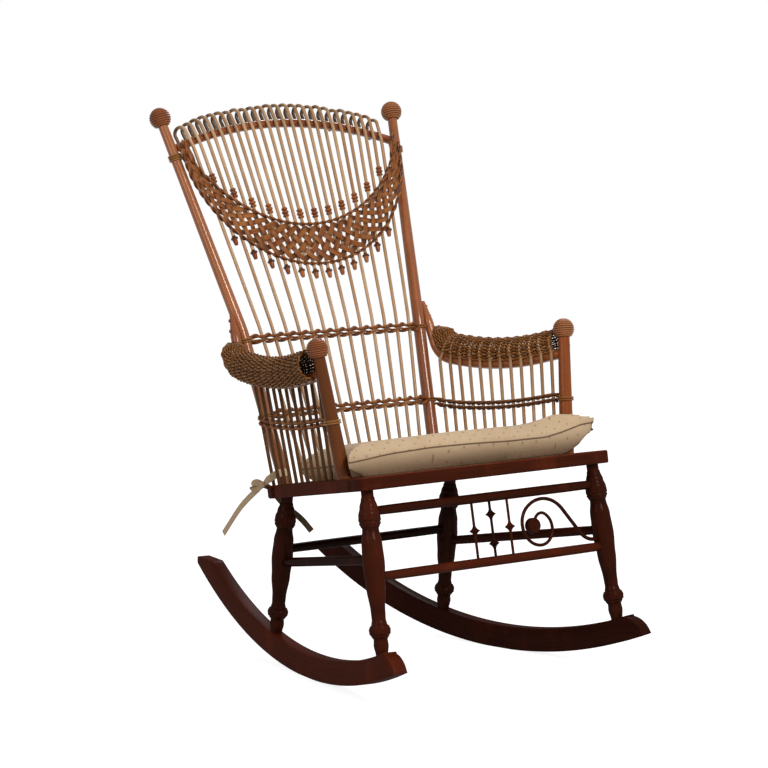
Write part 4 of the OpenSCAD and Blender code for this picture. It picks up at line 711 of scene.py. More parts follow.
def leg(low, high):
    """The eased marks stretched over the leg's length, with 3 more at each end inside its seat."""
    share, size = eased(LEG_MARKS, 8)
    length = np.linalg.norm(high - low)
    heights = np.concatenate([[-3], share * length, [length + 3]])
    radii = np.concatenate([size[:1], size, size[-1:]]) * LEG_R
    around = np.convolve(np.pad(radii, 9, "edge"), np.ones(19) / 19, "valid")
    # Grime and painted shade in the hollows: darker where the outline lies inside its own running
    # mean.
    hollow = np.clip((around - radii) / 4, 0, 0.8)
    return turned(heights, radii, low, high, 36, grime=hollow)


# Painted shade under the seat, over the whole leg: 0.38 at the front, 0.6 at the rear.
for name, low, high, shade in (("front", FRONT_FOOT, FRONT_HEAD, 0.38),
                               ("rear", REAR_FOOT, REAR_HEAD, 0.6)):
    both_sides(f"turned_leg_{name}_{{}}", leg(low, high), FRAME_WOOD,
               f"{name}_{{}}_leg", right=shade, left=shade)


# %% [markdown]
# The stretchers are plain round bars let into the legs. Each goes from the middle line of one leg
# to that of the next, so its ends are found by asking where a leg's line is at a given height.

# %% Stretchers
def leg_at(low, high, z):
    """The point of a leg's axis at height z."""
    return low + (high - low) * (z - low[2]) / (high[2] - low[2])


FLIP = np.array([-1.0, 1, 1])
FRET_UPPER, FRET_LOWER, SIDE_FRONT = [leg_at(FRONT_FOOT, FRONT_HEAD, z) for z in (351, 233, 264)]
REAR_BAR, SIDE_REAR = [leg_at(REAR_FOOT, REAR_HEAD, z) for z in (224, 198)]


def stretcher(a, b):
    """A straight round bar from axis to axis, drawn in a little towards its ends."""
    length = np.linalg.norm(b - a)
    h = np.linspace(12, length - 12, 50)
    swell = 1 - 0.1 * abs(2 * h / length - 1) ** 6
    end = np.clip(1 - np.minimum(h, length - h) / 26, 0, 1) * 0.9
    return turned(h, 9 * swell, a, b, 24, grime=end)


# Painted shade under the seat: the rear bar most, the sides less, the front lower bar least.
for name, end, shade in (("front_upper", FRET_UPPER, 0.4), ("front_lower", FRET_LOWER, 0.25),
                         ("rear", REAR_BAR, 0.7)):
    piece(f"{name}_bar", shaded(stretcher(end, end * FLIP), shade), FRAME_WOOD,
          [f"{name}_stretcher"])
both_sides("{}_side_bar", stretcher(SIDE_FRONT, SIDE_REAR), FRAME_WOOD,
           "{}_side_stretcher", right=0.5, left=0.5)

# %% [markdown]
# ## Fretwork and scroll
#
# Between the two front stretchers stand three thin sticks with pointed discs, turned in one piece,
# and a bent reed that rises from the right leg and winds into a turned button. The reed's route is
# a list of straights and arcs, as a bender lays it out on a board.

# %% Fretwork
FRET_MIDDLE = (FRET_UPPER + FRET_LOWER) / 2 * [0, 1, 1]
FRET_RISE = FRET_UPPER - FRET_LOWER
FRET_RAKE, FRET_HALF = atan2(FRET_RISE[1], FRET_RISE[2]), hypot(FRET_RISE[1], FRET_RISE[2]) / 2
STICK_THIN, DISC_RIM, DISC_HALF = 2.6, 8.2, 11


def fret_point(x, v, w):
    """x along the stretchers, v up the raked plane between them, w out of its front."""
    x, v, w = np.broadcast_arrays(np.asarray(x, float), v, w)
    return FRET_MIDDLE + np.stack([x, v * sin(FRET_RAKE) - w * cos(FRET_RAKE),
                                   v * cos(FRET_RAKE) + w * sin(FRET_RAKE)], -1)


def fret_stick(x, discs):
    """The stick's radius, plus for each disc a flare that grows by the power 2.2 to a sharp rim."""
    v = np.linspace(-FRET_HALF + 5, FRET_HALF - 5, 150)
    radii = STICK_THIN + 0 * v
    for disc in discs:
        t = np.clip(1 - abs(v - disc * FRET_HALF) / DISC_HALF, 0, 1)
        radii = np.maximum(radii, STICK_THIN + DISC_RIM * t ** 2.2)
    low, high = fret_point(x, v[0], 0), fret_point(x, v[-1], 0)
    return turned(v - v[0], radii, low, high, 22)


# The fret sticks get painted shade under the seat's front: 0.4 all over.
for name, x, discs in (("left", -35, [0]), ("middle", 8, [-0.46, 0.46]), ("right", 51, [0])):
    piece(f"{name}_turned_fret", shaded(fret_stick(x, discs), 0.4), FRAME_WOOD,
          [f"{name}_fret_stick"])

# %% [markdown]
# The scroll's reed gets a little thinner on its way in. The button in its eye is turned too: its
# face is a list of marks from the middle out, used once for the front and once for the back.

# %% Scroll
SCROLL = [[42.7, -67], [60.9, 0], [61.6, 91.5], [41.6, 139.5], [31.6, 150], [17, 118]]
SCROLL_X, SCROLL_V, SCROLL_HEADING = 266, -43.5, radians(194.2)
BUTTON_X, BUTTON_V, BUTTON_R, BUTTON_HALF = 107, -4, 15, 10
BUTTON_MARKS = [(0, 1), (0.25, 0.97), (0.4, 0.72), (0.55, 0.66), (0.7, 0.8), (0.88, 0.76),
                (1, 0.45)]
scroll_length = sum(r if turn == 0 else r * radians(abs(turn)) for r, turn in SCROLL)
sx, sy, _ = bent(SCROLL, np.linspace(0, scroll_length, 190))
c, s = cos(SCROLL_HEADING), sin(SCROLL_HEADING)
scroll_path = fret_point(SCROLL_X + sx * c - sy * s, SCROLL_V + sx * s + sy * c, 0)
# The scroll gets painted shade under the seat: 0.55 all over.
scroll_skin = bars(scroll_path, round_profile(3.5, 14), [0, -1, 0.2],
                   np.linspace(1.06, 0.86, 190), grime=0.55)
piece("bent_scroll", scroll_skin, FRAME_WOOD, ["scroll_reed"])

face_at, face_size = eased(BUTTON_MARKS)
button_r = np.concatenate([face_at[1:], face_at[::-1][:-1]]) * BUTTON_R
button_w = np.concatenate([-face_size[1:], face_size[::-1][:-1]]) * BUTTON_HALF
button_at, button_front = [fret_point(BUTTON_X, BUTTON_V, w) for w in (0, 1)]
# The button gets painted shade under the seat: 0.4 all over.
piece("turned_button", turned(button_w, button_r, button_at, button_front, 40, grime=0.4),
      FRAME_WOOD, ["scroll_boss"])

# %% [markdown]
# ## Seat frame and cane
#
# Four flat rails make the frame. Each is a plate: its outline is drawn in a little and lowered in
# small steps to round the edge. A lower ledge on the inside carries the cane, a sheet woven in
# three directions, which a spline wedges into a groove. The cushion hides most of it, but it is
# seen from below.

# %% Seat rails
FRONT_HALF, REAR_HALF = 303, 230
SLANT = (FRONT_HALF - REAR_HALF) / SEAT_DEPTH


def side_edge(v):
    """Half the seat's width at depth v."""
    return FRONT_HALF - SLANT * np.asarray(v, float)


def inset(outline, by):
    """Every corner of a convex outline moves in by the sum of its two edges' inward directions,
    divided so that both edges move by the same distance."""
    edge = unit(np.roll(outline, -1, 0) - outline)
    inward = np.stack([-edge[:, 1], edge[:, 0]], -1)
    before = np.roll(inward, 1, 0)
    return outline + by * (before + inward) / (1 + (before * inward).sum(-1))[:, None]


def plate(outline, low, high, edge, long_axis):
    """Rings from the flat underside round the edges to the flat top; x and v from the outline."""
    outline = np.asarray(outline, float)
    q = np.radians(np.linspace(0, 90, 5))
    ins = np.concatenate([[edge + 1], edge * (1 - np.sin(q)), edge * (1 - np.cos(q)), [edge + 1]])
    ups = np.concatenate([[low], low + edge * (1 - np.cos(q)),
                          high - edge * (1 - np.sin(q)), [high]])
    flat = np.stack([inset(outline, by) for by in ins])
    rings = seat_point(flat[..., 0], flat[..., 1], ups[:, None])[None]
    middle = outline.mean(0)
    ends = seat_point(middle[0], middle[1], np.array([low, high]))[None]
    made = skin(rings, ends, np.zeros((1, 1, 1, 2)), np.zeros((1, 1)))
    raised = np.broadcast_to(ups[:, None, None], flat.shape[:2] + (1,))
    local = np.concatenate([np.concatenate([flat, raised], -1).reshape(-1, 3),
                            [[*middle, low], [*middle, high]]])
    order = [1, 2, 0] if long_axis == "x" else [0, 2, 1]
    made["grain"] = local[:, order] + rng.uniform(0, 900, 3)
    # The ring along the top of the rounded edge gets a lighter tone: wear and a painted highlight.
    worn_and_highlit = np.repeat(np.where(abs(ups - high + edge * 0.4) < edge * 0.5, 1.0, 0.25), len(outline))
    made["tone"] = np.concatenate([worn_and_highlit, [0.25, 0.25]])
    return made


def rail_outline(v0, v1, inner, outer):
    """A strip along the seat's side between two depths, from `inner` to `outer` inside its edge."""
    return [(side_edge(v0) - inner, v0), (side_edge(v0) - outer, v0),
            (side_edge(v1) - outer, v1), (side_edge(v1) - inner, v1)]


def across_seat(v, back=False):
    """The two points of the seat's outline at depth v, from the left or, with back, the right."""
    left, right = (-side_edge(v), v), (side_edge(v), v)
    return [right, left] if back else [left, right]


def corner_arc(x, v, radius, turn):
    """A round corner: its centre plus the radius times cosine and sine of the turn."""
    return np.stack([x + radius * np.cos(turn), v + radius * np.sin(turn)], -1)


LEDGE, LEDGE_LOW, LEDGE_TOP = 14.0, 0.2, SEAT_THICK - 2.2
SIDE_W, FRONT_W, REAR_W = 58.0, 56.0, 62.0
REAR_CORNER, FRONT_CORNER = 48.0, 12
FRONT_CORNER_X = 288.9
FRONT_EDGE, SIDE_EDGE, REAR_EDGE = 3.2, 1.8, 4.5

front_v = FRONT_W - LEDGE
front_round = corner_arc(FRONT_CORNER_X, FRONT_CORNER, FRONT_CORNER,
                         np.radians(np.linspace(-90, 0, 7)))
front_out = np.concatenate([(front_round * [-1, 1])[::-1], front_round,
                            across_seat(front_v, back=True)])
front_in = across_seat(front_v - 1) + across_seat(FRONT_W, back=True)
piece("front_seat_rail", [plate(front_out, 0, SEAT_THICK, FRONT_EDGE, "x"),
                          plate(front_in, LEDGE_LOW, LEDGE_TOP, 1, "x")],
      FRAME_WOOD, ["seat_front_rail"])

rear_v = SEAT_DEPTH - REAR_W + LEDGE
side_v = front_v + 0.4, rear_v - 0.4
both_sides("{}_seat_rail",
           [plate(rail_outline(*side_v, SIDE_W - LEDGE, 0), 0, SEAT_THICK, SIDE_EDGE, "v"),
            plate(rail_outline(*side_v, SIDE_W, SIDE_W - LEDGE - 1), LEDGE_LOW, LEDGE_TOP, 1, "v")],
           FRAME_WOOD, "seat_{}_rail")

slant_angle = atan2(SLANT, 1)
corner_v = SEAT_DEPTH - REAR_CORNER
round_corner = corner_arc(side_edge(corner_v) - REAR_CORNER / cos(slant_angle), corner_v,
                          REAR_CORNER, np.linspace(slant_angle, pi / 2, 12))
rear_out = np.concatenate([across_seat(rear_v), round_corner, (round_corner * [-1, 1])[::-1]])
rear_in = across_seat(rear_v - LEDGE) + across_seat(rear_v + 1, back=True)
piece("rear_seat_rail", [plate(rear_out, 0, SEAT_THICK, REAR_EDGE, "x"),
                         plate(rear_in, LEDGE_LOW, LEDGE_TOP, 1, "x")],
      FRAME_WOOD, ["seat_rear_rail"])

# %% [markdown]
# The cane is woven of strands in four directions: pairs from front to back and from side to side,
# and single strands on both slants. Each direction lies at its own height, a fraction of a
# millimetre from the next, and every strand is a line that is cut at the edges of the opening.

# %% Cane
CANE_PITCH, PAIR_HALF, CANE_LAP = 12.6, 1.9, 9
OPEN_FRONT, OPEN_REAR = FRONT_W - CANE_LAP, SEAT_DEPTH - REAR_W + CANE_LAP


def cane_family(offsets, direction, height):
    """Parallel strands: each line is cut where it crosses one of the four edges of the opening.
    For an edge n . p = c, the crossing along the line is (c - n . start) / (n . direction)."""
    direction = unit(np.array(direction, float))
    normal = np.array([-direction[1], direction[0]])
    start = np.array([0, 210.0]) + offsets[:, None] * normal
    limit = FRONT_HALF - SIDE_W + CANE_LAP
    edges = [((0, -1), -OPEN_FRONT), ((0, 1), OPEN_REAR), ((1, SLANT), limit), ((-1, SLANT), limit)]
    low, high = np.full(len(offsets), -1e4), np.full(len(offsets), 1e4)
    for n, c in edges:
        rate, room = np.dot(direction, n), c - start @ np.array(n, float)
        if rate > 1e-9:
            high = np.minimum(high, room / rate)
        elif rate < -1e-9:
            low = np.maximum(low, room / rate)
        else:
            high = np.where(room < 0, low, high)
    keep = high - low > 6
    start, low, high = start[keep], low[keep], high[keep]
    t = np.stack([low, high], -1)
    flat = start[:, None] + t[..., None] * direction
    path = seat_point(flat[..., 0], flat[..., 1], height)
    return bars(path, band_profile(0.3, 1.25, 4, 2.0), SEAT_UP)


pairs = (np.arange(-20, 21)[:, None] * CANE_PITCH + [-PAIR_HALF, PAIR_HALF]).ravel()
slants = np.arange(-34, 35) * CANE_PITCH * cos(pi / 4)
cane = [cane_family(pairs, (0, 1), 23.9), cane_family(pairs, (1, 0), 24.5),
        cane_family(slants, (1, 1), 24.8), cane_family(slants, (1, -1), 24.2)]
piece("woven_cane", cane, CANE, ["cane_panel"])

# %% [markdown]
# ## Back posts, top rail and arms' frame
#
# The posts are round, thickest at the seat, and bend back at the height of the arms. The middle
# line is two straights with a short curve between them, and the curve is a pull towards the
# corner: (1 - t) squared of the start, 2 t (1 - t) of the corner and t squared of the end.

# %% Posts
def with_bend(start, corner, end, reach):
    """Straight from start, round the corner from `reach` before it to `reach` after it, straight
    on to the end."""
    a, b = corner + unit(start - corner) * reach, corner + unit(end - corner) * reach
    t = np.linspace(0, 1, 16, endpoint=False)[:, None]
    low = start + (a - start) * t
    t = np.linspace(0, 1, 9, endpoint=False)[:, None]
    curve = (1 - t) ** 2 * a + 2 * t * (1 - t) * corner + t ** 2 * b
    t = np.linspace(0, 1, 24)[:, None]
    return np.concatenate([low, curve, b + (end - b) * t])


IN_SEAT, IN_BALL, BEND_REACH = 3, 10, 12.0
post_path = with_bend(POST_BASE - unit(BEND - POST_BASE) * IN_SEAT, BEND,
                      BALL - unit(BALL - BEND) * IN_BALL, BEND_REACH)
above_bend = post_path[:, 2] - BEND_Z
post_v = np.where(above_bend < 0, above_bend / cos(LOWER_LEAN), above_bend / cos(UPPER_LEAN))
# Painted shade on the posts' lower part: darker from 680 mm down to the seat.
post_skin = bars(post_path, round_profile(1.0, 32), [0, 1, 0], post_radius(post_v), tone=0.5,
                 grime=0.26 * np.clip((680 - post_path[:, 2]) / 160, 0, 1)[None])
both_sides("{}_bent_post", post_skin, POST_WOOD, "{}_back_post")

# %% [markdown]
# The top rail bows from ball to ball, highest in the middle. The arm posts are turned straight, and
# taper from the seat to their balls.

# %% Top rail and arm posts
RAIL_V, RAIL_BOW, RAIL_HALF = 427, 800.0, 268.2


def top_rail_height(x):
    """An arc of radius RAIL_BOW, highest in the middle."""
    return RAIL_V - RAIL_BOW + np.sqrt(RAIL_BOW ** 2 - np.asarray(x, float) ** 2)


x = np.linspace(-RAIL_HALF, RAIL_HALF, 90)
rail_path = back_point(UPPER_LEAN, x, top_rail_height(x), 0)
piece("bowed_top_rail", bars(rail_path, round_profile(8.5, 20), back_normal(UPPER_LEAN), tone=0.05),
      POST_WOOD, ["top_rail"])

arm_length = np.linalg.norm(ARM_BALL - ARM_BASE)
arm_post = turned(np.linspace(-IN_SEAT, arm_length - IN_BALL, 30), np.linspace(14, 11.5, 30),
                  ARM_BASE, ARM_BALL, 32, tone=0.6)
# The left arm post gets painted shade: 0.6 all over.
both_sides("{}_arm_upright", arm_post, ARM_WOOD, "{}_arm_post", left=0.6)

# %% [markdown]
# The arm rail leaves the post, dips, sweeps up at the back and ends in a taper nailed outside the
# back post. It lies in one upright plane, so its route is again straights and arcs.

# %% Arm rails
ARM_STEPS = [[62, 0], [700, 20], [50, 62], [45, 0]]
ARM_LENGTH, ARM_TAPER, ARM_TOE, ARM_FALL = 405.45, 42.0, radians(8.9), -radians(14.5)


def arm_walk(steps, d):
    """s along the plane, z up from the joint, and the heading, at distance d along straights and
    arcs that set off downwards by ARM_FALL."""
    x, y, h = bent(steps, d)
    c, s = cos(ARM_FALL), sin(ARM_FALL)
    return x * c - y * s, x * s + y * c, h + ARM_FALL


def arm_world(s, z, out):
    """From the arm's plane to the drawing: s back along it, z up, out away from the chair."""
    s, z, out = np.broadcast_arrays(np.asarray(s, float), z, out)
    return ARM_JOINT + np.stack([-s * sin(ARM_TOE) + out * cos(ARM_TOE),
                                 s * cos(ARM_TOE) + out * sin(ARM_TOE), z], -1)


OUTWARD = np.array([cos(ARM_TOE), sin(ARM_TOE), 0])
d = np.linspace(0, ARM_LENGTH + ARM_TAPER, 110)
s, z, _ = arm_walk(ARM_STEPS, d)
size = np.where(d < ARM_LENGTH, 10, 10 - 5.5 * (d - ARM_LENGTH) / ARM_TAPER)
# Tone 0.9 is painted light: the arm rails are made lighter against the shade of the rolls above
# them.
arm_skin = bars(arm_world(s, z, 0), round_profile(1.0, 22), OUTWARD, size, tone=0.9)
both_sides("{}_bent_arm", arm_skin, POST_WOOD, "{}_arm_rail")

# %% [markdown]
# ## Back sticks with their loops
#
# Twenty five sticks of round reed fan out over the back. Each passes in front of the top rail,
# loops over it towards the viewer's left and comes down behind it. The loop is half a circle in a
# plane turned by the loop's yaw, so one formula gives the upper end of all the sticks: straight,
# half circle, short tail. Real reed is never quite straight, so each stick wavers by less than a
# millimetre.

# %% Sticks
STICK_R, STICK_W = 3.5, 12.0
FAN_STEP, FAN_SPREAD = 15.3, 0.011007
LOOP_SIDE, LOOP_BACK, LOOP_UP, LOOP_TAIL, LOOP_LEAN = 10, 24, 24.0, 26.0, 5.0
LOOP_R, LOOP_YAW = hypot(LOOP_SIDE, LOOP_BACK) / 2, atan2(LOOP_BACK, LOOP_SIDE)


def stick_step(v):
    """The distance between two neighbours, which grows with the height v."""
    return FAN_STEP + FAN_SPREAD * v


def stick_x(j, v):
    """The fan: stick j stands j steps from the middle."""
    return j * stick_step(v)


def upper_stick(j, v):
    """Local places (x, v, w) of stick j from height v up: its line leans by atan(j x spread), then
    the half circle, then the tail; sizes are whole arrays over the sticks."""
    j, v = j[:, None], v[:, None]
    turn = np.arctan(j * FAN_SPREAD)
    start = top_rail_height(stick_x(j, RAIL_V)) + LOOP_UP + rng.uniform(-2.0, 2.0, j.shape)
    rise = (start - v) / np.cos(turn)
    climb = np.linspace(0, 1, 26, endpoint=False)[None] * rise
    lean = LOOP_LEAN * np.clip((climb - rise + 34) / 34, 0, 1)
    q = np.linspace(0, pi, 22)[None]
    over = LOOP_R * (np.cos(q) - 1) + 0 * j
    down = np.linspace(1 / 6, 1, 6)[None] * (LOOP_TAIL + rng.uniform(-2, 2, j.shape))
    side = np.concatenate([-lean, over * cos(LOOP_YAW) - LOOP_LEAN,
                           0.15 * down - 2 * LOOP_R * cos(LOOP_YAW) - LOOP_LEAN], 1)
    back = np.concatenate([0 * climb, over * sin(LOOP_YAW),
                           0 * down - 2 * LOOP_R * sin(LOOP_YAW)], 1)
    up = np.concatenate([climb, rise + LOOP_R * np.sin(q), rise - down], 1)
    x = stick_x(j, v) + side * np.cos(turn) + up * np.sin(turn)
    return x, v - side * np.sin(turn) + up * np.cos(turn), STICK_W + back


def waver(path, amount):
    """Adds two slow sine waves across each bar, fading out at its ends."""
    k, n = path.shape[:2]
    t = np.linspace(0, 1, n)[None]
    fade = np.sin(pi * t) * amount
    phase = rng.uniform(0, 2 * pi, (2, k, 1))
    side, back = fade * np.sin(9 * t + phase[0]), fade * np.sin(7 * t + phase[1])
    return path + np.stack([side, back, 0 * side], -1)


def stick_shade(path):
    """Painted shade on the sticks: darker below the arms, in the loops and most of all behind the
    rail. The painted shade grows below the bend, above the rail's height and with the distance
    behind the sticks' plane."""
    z = path[..., 2]
    w = back_normal(UPPER_LEAN) @ np.moveaxis(path - BEND, -1, 0).reshape(3, -1)
    w = w.reshape(z.shape)
    low = 0.3 * np.clip((BEND_Z - z) / 260, 0, 1)
    behind = np.where(z > 960, 0.75 * np.clip((STICK_W - 2 - w) / 16, 0, 1), 0)
    loop = 0.22 * np.clip((z - 1015) / 20, 0, 1)
    return np.clip(np.maximum(low, behind + loop) + rng.uniform(-0.08, 0.12, (len(z), 1)), 0, 0.9)


plain_j = np.arange(-12, 13, 2).astype(float)
bend_v = -STICK_W * tan((UPPER_LEAN - LOWER_LEAN) / 2)
sx, sv, sw = upper_stick(plain_j, 0 * plain_j + 6.0)
above = back_point(UPPER_LEAN, sx, sv, sw)
meet_v = (SEAT_UP @ (seat_point(0, 0, SEAT_THICK) - back_point(LOWER_LEAN, 0, 0, STICK_W))
          / (SEAT_UP @ back_up(LOWER_LEAN)))
t = np.linspace(0, 1, 22, endpoint=False)[None]
low_v = (meet_v - 4) + (bend_v - 6 - meet_v + 4) * t
below = back_point(LOWER_LEAN, stick_x(plain_j[:, None], low_v), low_v, STICK_W)
plain_path = waver(np.concatenate([below, above], axis=1), 0.7)
plain_sticks = bars(plain_path, round_profile(STICK_R, 12), back_normal(UPPER_LEAN),
                    grime=stick_shade(plain_path))
piece("plain_back_sticks", plain_sticks, REED, ["back_plain_sticks"])

# %% [markdown]
# ## Beads and acorns
#
# Every second stick stops below the crescent. It carries three beads turned in one piece above the
# crescent and an acorn on its end. Both hang from the crescent's two edges, which are arcs, so
# their heights are read from the edges at the place of each stick.

# %% Beaded sticks
LOW_V, HIGH_V, LOW_R, HIGH_R = 122, 205, 272.0, 289.0
LOW_C, HIGH_C = LOW_V + LOW_R, HIGH_V + HIGH_R
bead_j = np.arange(-11, 12, 2).astype(float)


def low_edge(x):
    """Height of the crescent's lower edge at x: its circle's centre less the circle's reach."""
    return LOW_C - np.sqrt(LOW_R ** 2 - x ** 2)


def high_edge(x):
    """Height of the crescent's upper edge at x."""
    return HIGH_C - np.sqrt(HIGH_R ** 2 - x ** 2)


bead_v = high_edge(stick_x(bead_j, high_edge(stick_x(bead_j, HIGH_V)))) + 24
acorn_v = low_edge(stick_x(bead_j, low_edge(stick_x(bead_j, LOW_V)))) - 20
sx, sv, sw = upper_stick(bead_j, acorn_v - 5)
beaded_path = waver(back_point(UPPER_LEAN, sx, sv, sw), 0.6)
beaded_sticks = bars(beaded_path, round_profile(STICK_R, 12), back_normal(UPPER_LEAN),
                     grime=stick_shade(beaded_path))
piece("beaded_back_sticks", beaded_sticks, REED, ["back_beaded_sticks"])

# %% [markdown]
# A bead is a ring: half a circle that stands out from a thin core. The three rings of a stack are
# one outline, which takes the largest of them at every height, and grime and painted shade fill
# the grooves. The acorn is a list of marks again, with a darker cap.

# %% Beads and acorns
BEAD_R, BEAD_HALF, BEAD_CORE, OUTER_BEAD = 7.1, 10, 3.9, 0.9
LARGE, SMALL, BEAD_AT = 3.4, 3.0, 7.0
ACORN_R, ACORN_LENGTH, CAP_FROM = 7, 20, 0.605
ACORN_MARKS = [(0.0, 0.3), (0.03, 0.5), (0.3, 0.66), (0.55, 0.74), (0.6, 0.74), (0.62, 1.0),
               (0.7, 1.08), (0.8, 0.98), (0.9, 0.62), (1.0, 0.55)]


def on_sticks(heights, radii, v, grime):
    """Turns an outline round every beaded stick at height v of the upper back."""
    turn = np.arctan(bead_j * FAN_SPREAD)
    low = back_point(UPPER_LEAN, stick_x(bead_j, v), v, STICK_W)
    high = back_point(UPPER_LEAN, stick_x(bead_j, v) + np.sin(turn), v + np.cos(turn), STICK_W)
    return turned(heights, radii, low, high, 20, grime=grime)


bead_h = np.linspace(-BEAD_HALF, BEAD_HALF, 64)
bead_size = np.full(64, BEAD_CORE)
for centre, r, reach in ((0, LARGE, BEAD_R), (-BEAD_AT, SMALL, BEAD_R * OUTER_BEAD),
                         (BEAD_AT, SMALL, BEAD_R * OUTER_BEAD)):
    ring = reach - r + np.sqrt(np.maximum(r ** 2 - (bead_h - centre) ** 2, 0))
    bead_size = np.where(abs(bead_h - centre) > r, bead_size, np.maximum(bead_size, ring))
# Grime and painted shade in the grooves between the beads.
bead_groove_darkening = np.clip((4.9 - bead_size) / 1.2, 0, 0.85)
piece("turned_bead_stacks", on_sticks(bead_h, bead_size, bead_v, bead_groove_darkening), TURNED,
      ["stick_beads"])

at, fat = eased(ACORN_MARKS, 5)
acorn_skin = on_sticks((at - 0.5) * ACORN_LENGTH, fat * ACORN_R, acorn_v,
                       np.where(at > CAP_FROM, 0.7, 0.0))
piece("turned_acorns", acorn_skin, TURNED, ["acorn_drops"])

# %% [markdown]
# ## The crescent
#
# The crescent is a plait of five bundles, each of three fine flat reeds, that runs from post to
# post between two twined borders and lies on the sticks. A bundle climbs from the lower border to
# the upper one, folds over and comes down again: its height in the band is a triangle wave with
# rounded tips. Two bundles meet whenever the wave has moved on by a fifth, and there one passes
# over and the other under, so the lift out of the plane is a cosine that changes sign between
# rising and falling.

# %% Crescent plait
def band_width(a):
    """Distance between the two edges' circles, measured from the lower circle's centre."""
    c = HIGH_C - LOW_C
    return LOW_R + c * np.cos(a) - np.sqrt(HIGH_R ** 2 - (c * np.sin(a)) ** 2)


BUNDLES, PLAIT_W, PLAIT_LIFT, REED_STEP = 5, 17.2, 1.15, 3.75
LEAN_ANGLE = radians(17.0)
TURN_UP, RUN_ON = radians(73), 58.0
UPWARD = (sin(radians(10)), cos(radians(10)))


def along_band(radius, centre, a, turn_up):
    """Place and outward direction on an edge circle; past the angle where it turns up beside the
    post the line goes straight on, a little outward, by the arc that is left."""
    held = np.clip(a, -turn_up, turn_up)
    extra = (a - held) * radius
    x = radius * np.sin(held) + abs(extra) * UPWARD[0] * np.sign(a)
    v = centre - radius * np.cos(held) + abs(extra) * UPWARD[1]
    return x, v, np.sin(held), -np.cos(held)


plait_reach = TURN_UP + RUN_ON / LOW_R
a = np.linspace(-plait_reach, plait_reach, 700)[None]
p = a / (2 * LEAN_ANGLE) + np.arange(BUNDLES)[:, None] / BUNDLES
knee = 0.95
wave = 0.5 + np.arcsin(knee * np.sin(2 * pi * p)) / (2 * np.arcsin(knee))
linear = 0.5 + np.arcsin(np.sin(2 * pi * p)) / pi
q = BUNDLES * linear
rising = np.sign(np.cos(2 * pi * p))
last = BUNDLES - 1
at_top = np.cos(pi * last) * np.cos(pi * (q - last) / 2)
lift = np.where(q < 1, -np.cos(pi * (1 - q) / 2), np.where(q > last, at_top, np.cos(pi * q)))
lift = lift * rising
wide = np.maximum(band_width(np.clip(a, -TURN_UP, TURN_UP)), 25.0)
fine = np.clip(wide / 83, 0.3, 1) ** 0.6
clear = np.minimum(3.4 + 5.6 * fine, wide * 0.46)
low_x, low_v, out_x, out_v = along_band(LOW_R, LOW_C, a, TURN_UP)
inward = clear + wave * (wide - 2 * clear)
bx, bv = low_x - inward * out_x, low_v - inward * out_v
tx, tv = np.gradient(bx, axis=1), np.gradient(bv, axis=1)
length = np.hypot(tx, tv)
spread = (np.arange(3) - 1)[None, :, None] * REED_STEP * fine[:, None]
px = bx[:, None] - (tv / length)[:, None] * spread
pv = bv[:, None] + (tx / length)[:, None] * spread
pw = PLAIT_W + PLAIT_LIFT * lift[:, None]
plait = back_point(UPPER_LEAN, px, pv, pw).reshape(BUNDLES * 3, -1, 3)
# Painted shade: a bundle is darker where it passes under the next one.
under = np.clip(0.35 - 0.55 * lift, 0, 0.75)
under = np.repeat(under[:, None], 3, axis=1).reshape(BUNDLES * 3, -1)
width = np.repeat(0.55 + 0.45 * np.repeat(fine, BUNDLES, axis=0), 3, axis=0)
plait_skin = bars(plait, band_profile(0.8, 2.0, 8, 2.6), back_normal(UPPER_LEAN), width,
                  grime=under)
piece("plaited_crescent", plait_skin, WOVEN,
      ["crescent_rising_reeds", "crescent_falling_reeds"])

# %% [markdown]
# The borders are twined: two strands run along the edge, one before and one behind every stick,
# and change places between the sticks. Where the edge turns up beside the posts there are no more
# sticks to hold, and the pair becomes a plain twisted rope.

# %% Crescent borders
FREE_TURN, FREE_W, BORDER_OUT = 20, 18.6, 1.9


def border(centre, radius, turn_up, run_on):
    """Along the edge line, a pair of strands turns round a shared line: out of the plane by a
    cosine and in the plane by a sine of the same angle. The angle grows by half a turn for each
    stick, or by half a turn every 20 mm where sticks are further apart along the edge. There the
    pair also leaves the sticks' plane and closes up, by the share `held`."""
    reach_angle = turn_up + run_on / radius
    a = np.linspace(-reach_angle, reach_angle, 760)
    x, v, out_x, out_v = along_band(radius, centre, a, turn_up)
    s = radius * a
    rate = abs(np.gradient(x / stick_step(v), s))
    turning = np.cumsum(np.maximum(rate, 1 / FREE_TURN) * np.gradient(s)) * pi
    turning -= turning[len(a) // 2]
    held = np.clip((rate * FREE_TURN - 1) / 0.4, 0, 1)
    middle_w = held * STICK_W + (1 - held) * FREE_W
    out = held * (STICK_R + BORDER_OUT) + (1 - held) * BORDER_OUT
    strands = []
    for side in (1, -1):
        w = middle_w + side * out * np.cos(turning)
        shift = side * BORDER_OUT * np.sin(turning)
        strands.append(back_point(UPPER_LEAN, x + shift * out_x, v + shift * out_v, w))
    # Painted shade: each strand is darker where it passes behind a stick.
    deep = np.stack([np.clip(0.5 - 0.6 * side * np.cos(turning), 0, 0.85) for side in (1, -1)])
    return bars(np.stack(strands), round_profile(2.05, 8), back_normal(UPPER_LEAN), grime=deep)


for name, edge_line in (("upper", (HIGH_C, HIGH_R, radians(62), 34)),
                        ("lower", (LOW_C, LOW_R, TURN_UP, RUN_ON))):
    piece(f"twined_{name}_border", border(*edge_line), WOVEN,
          [f"crescent_{name}_border"])

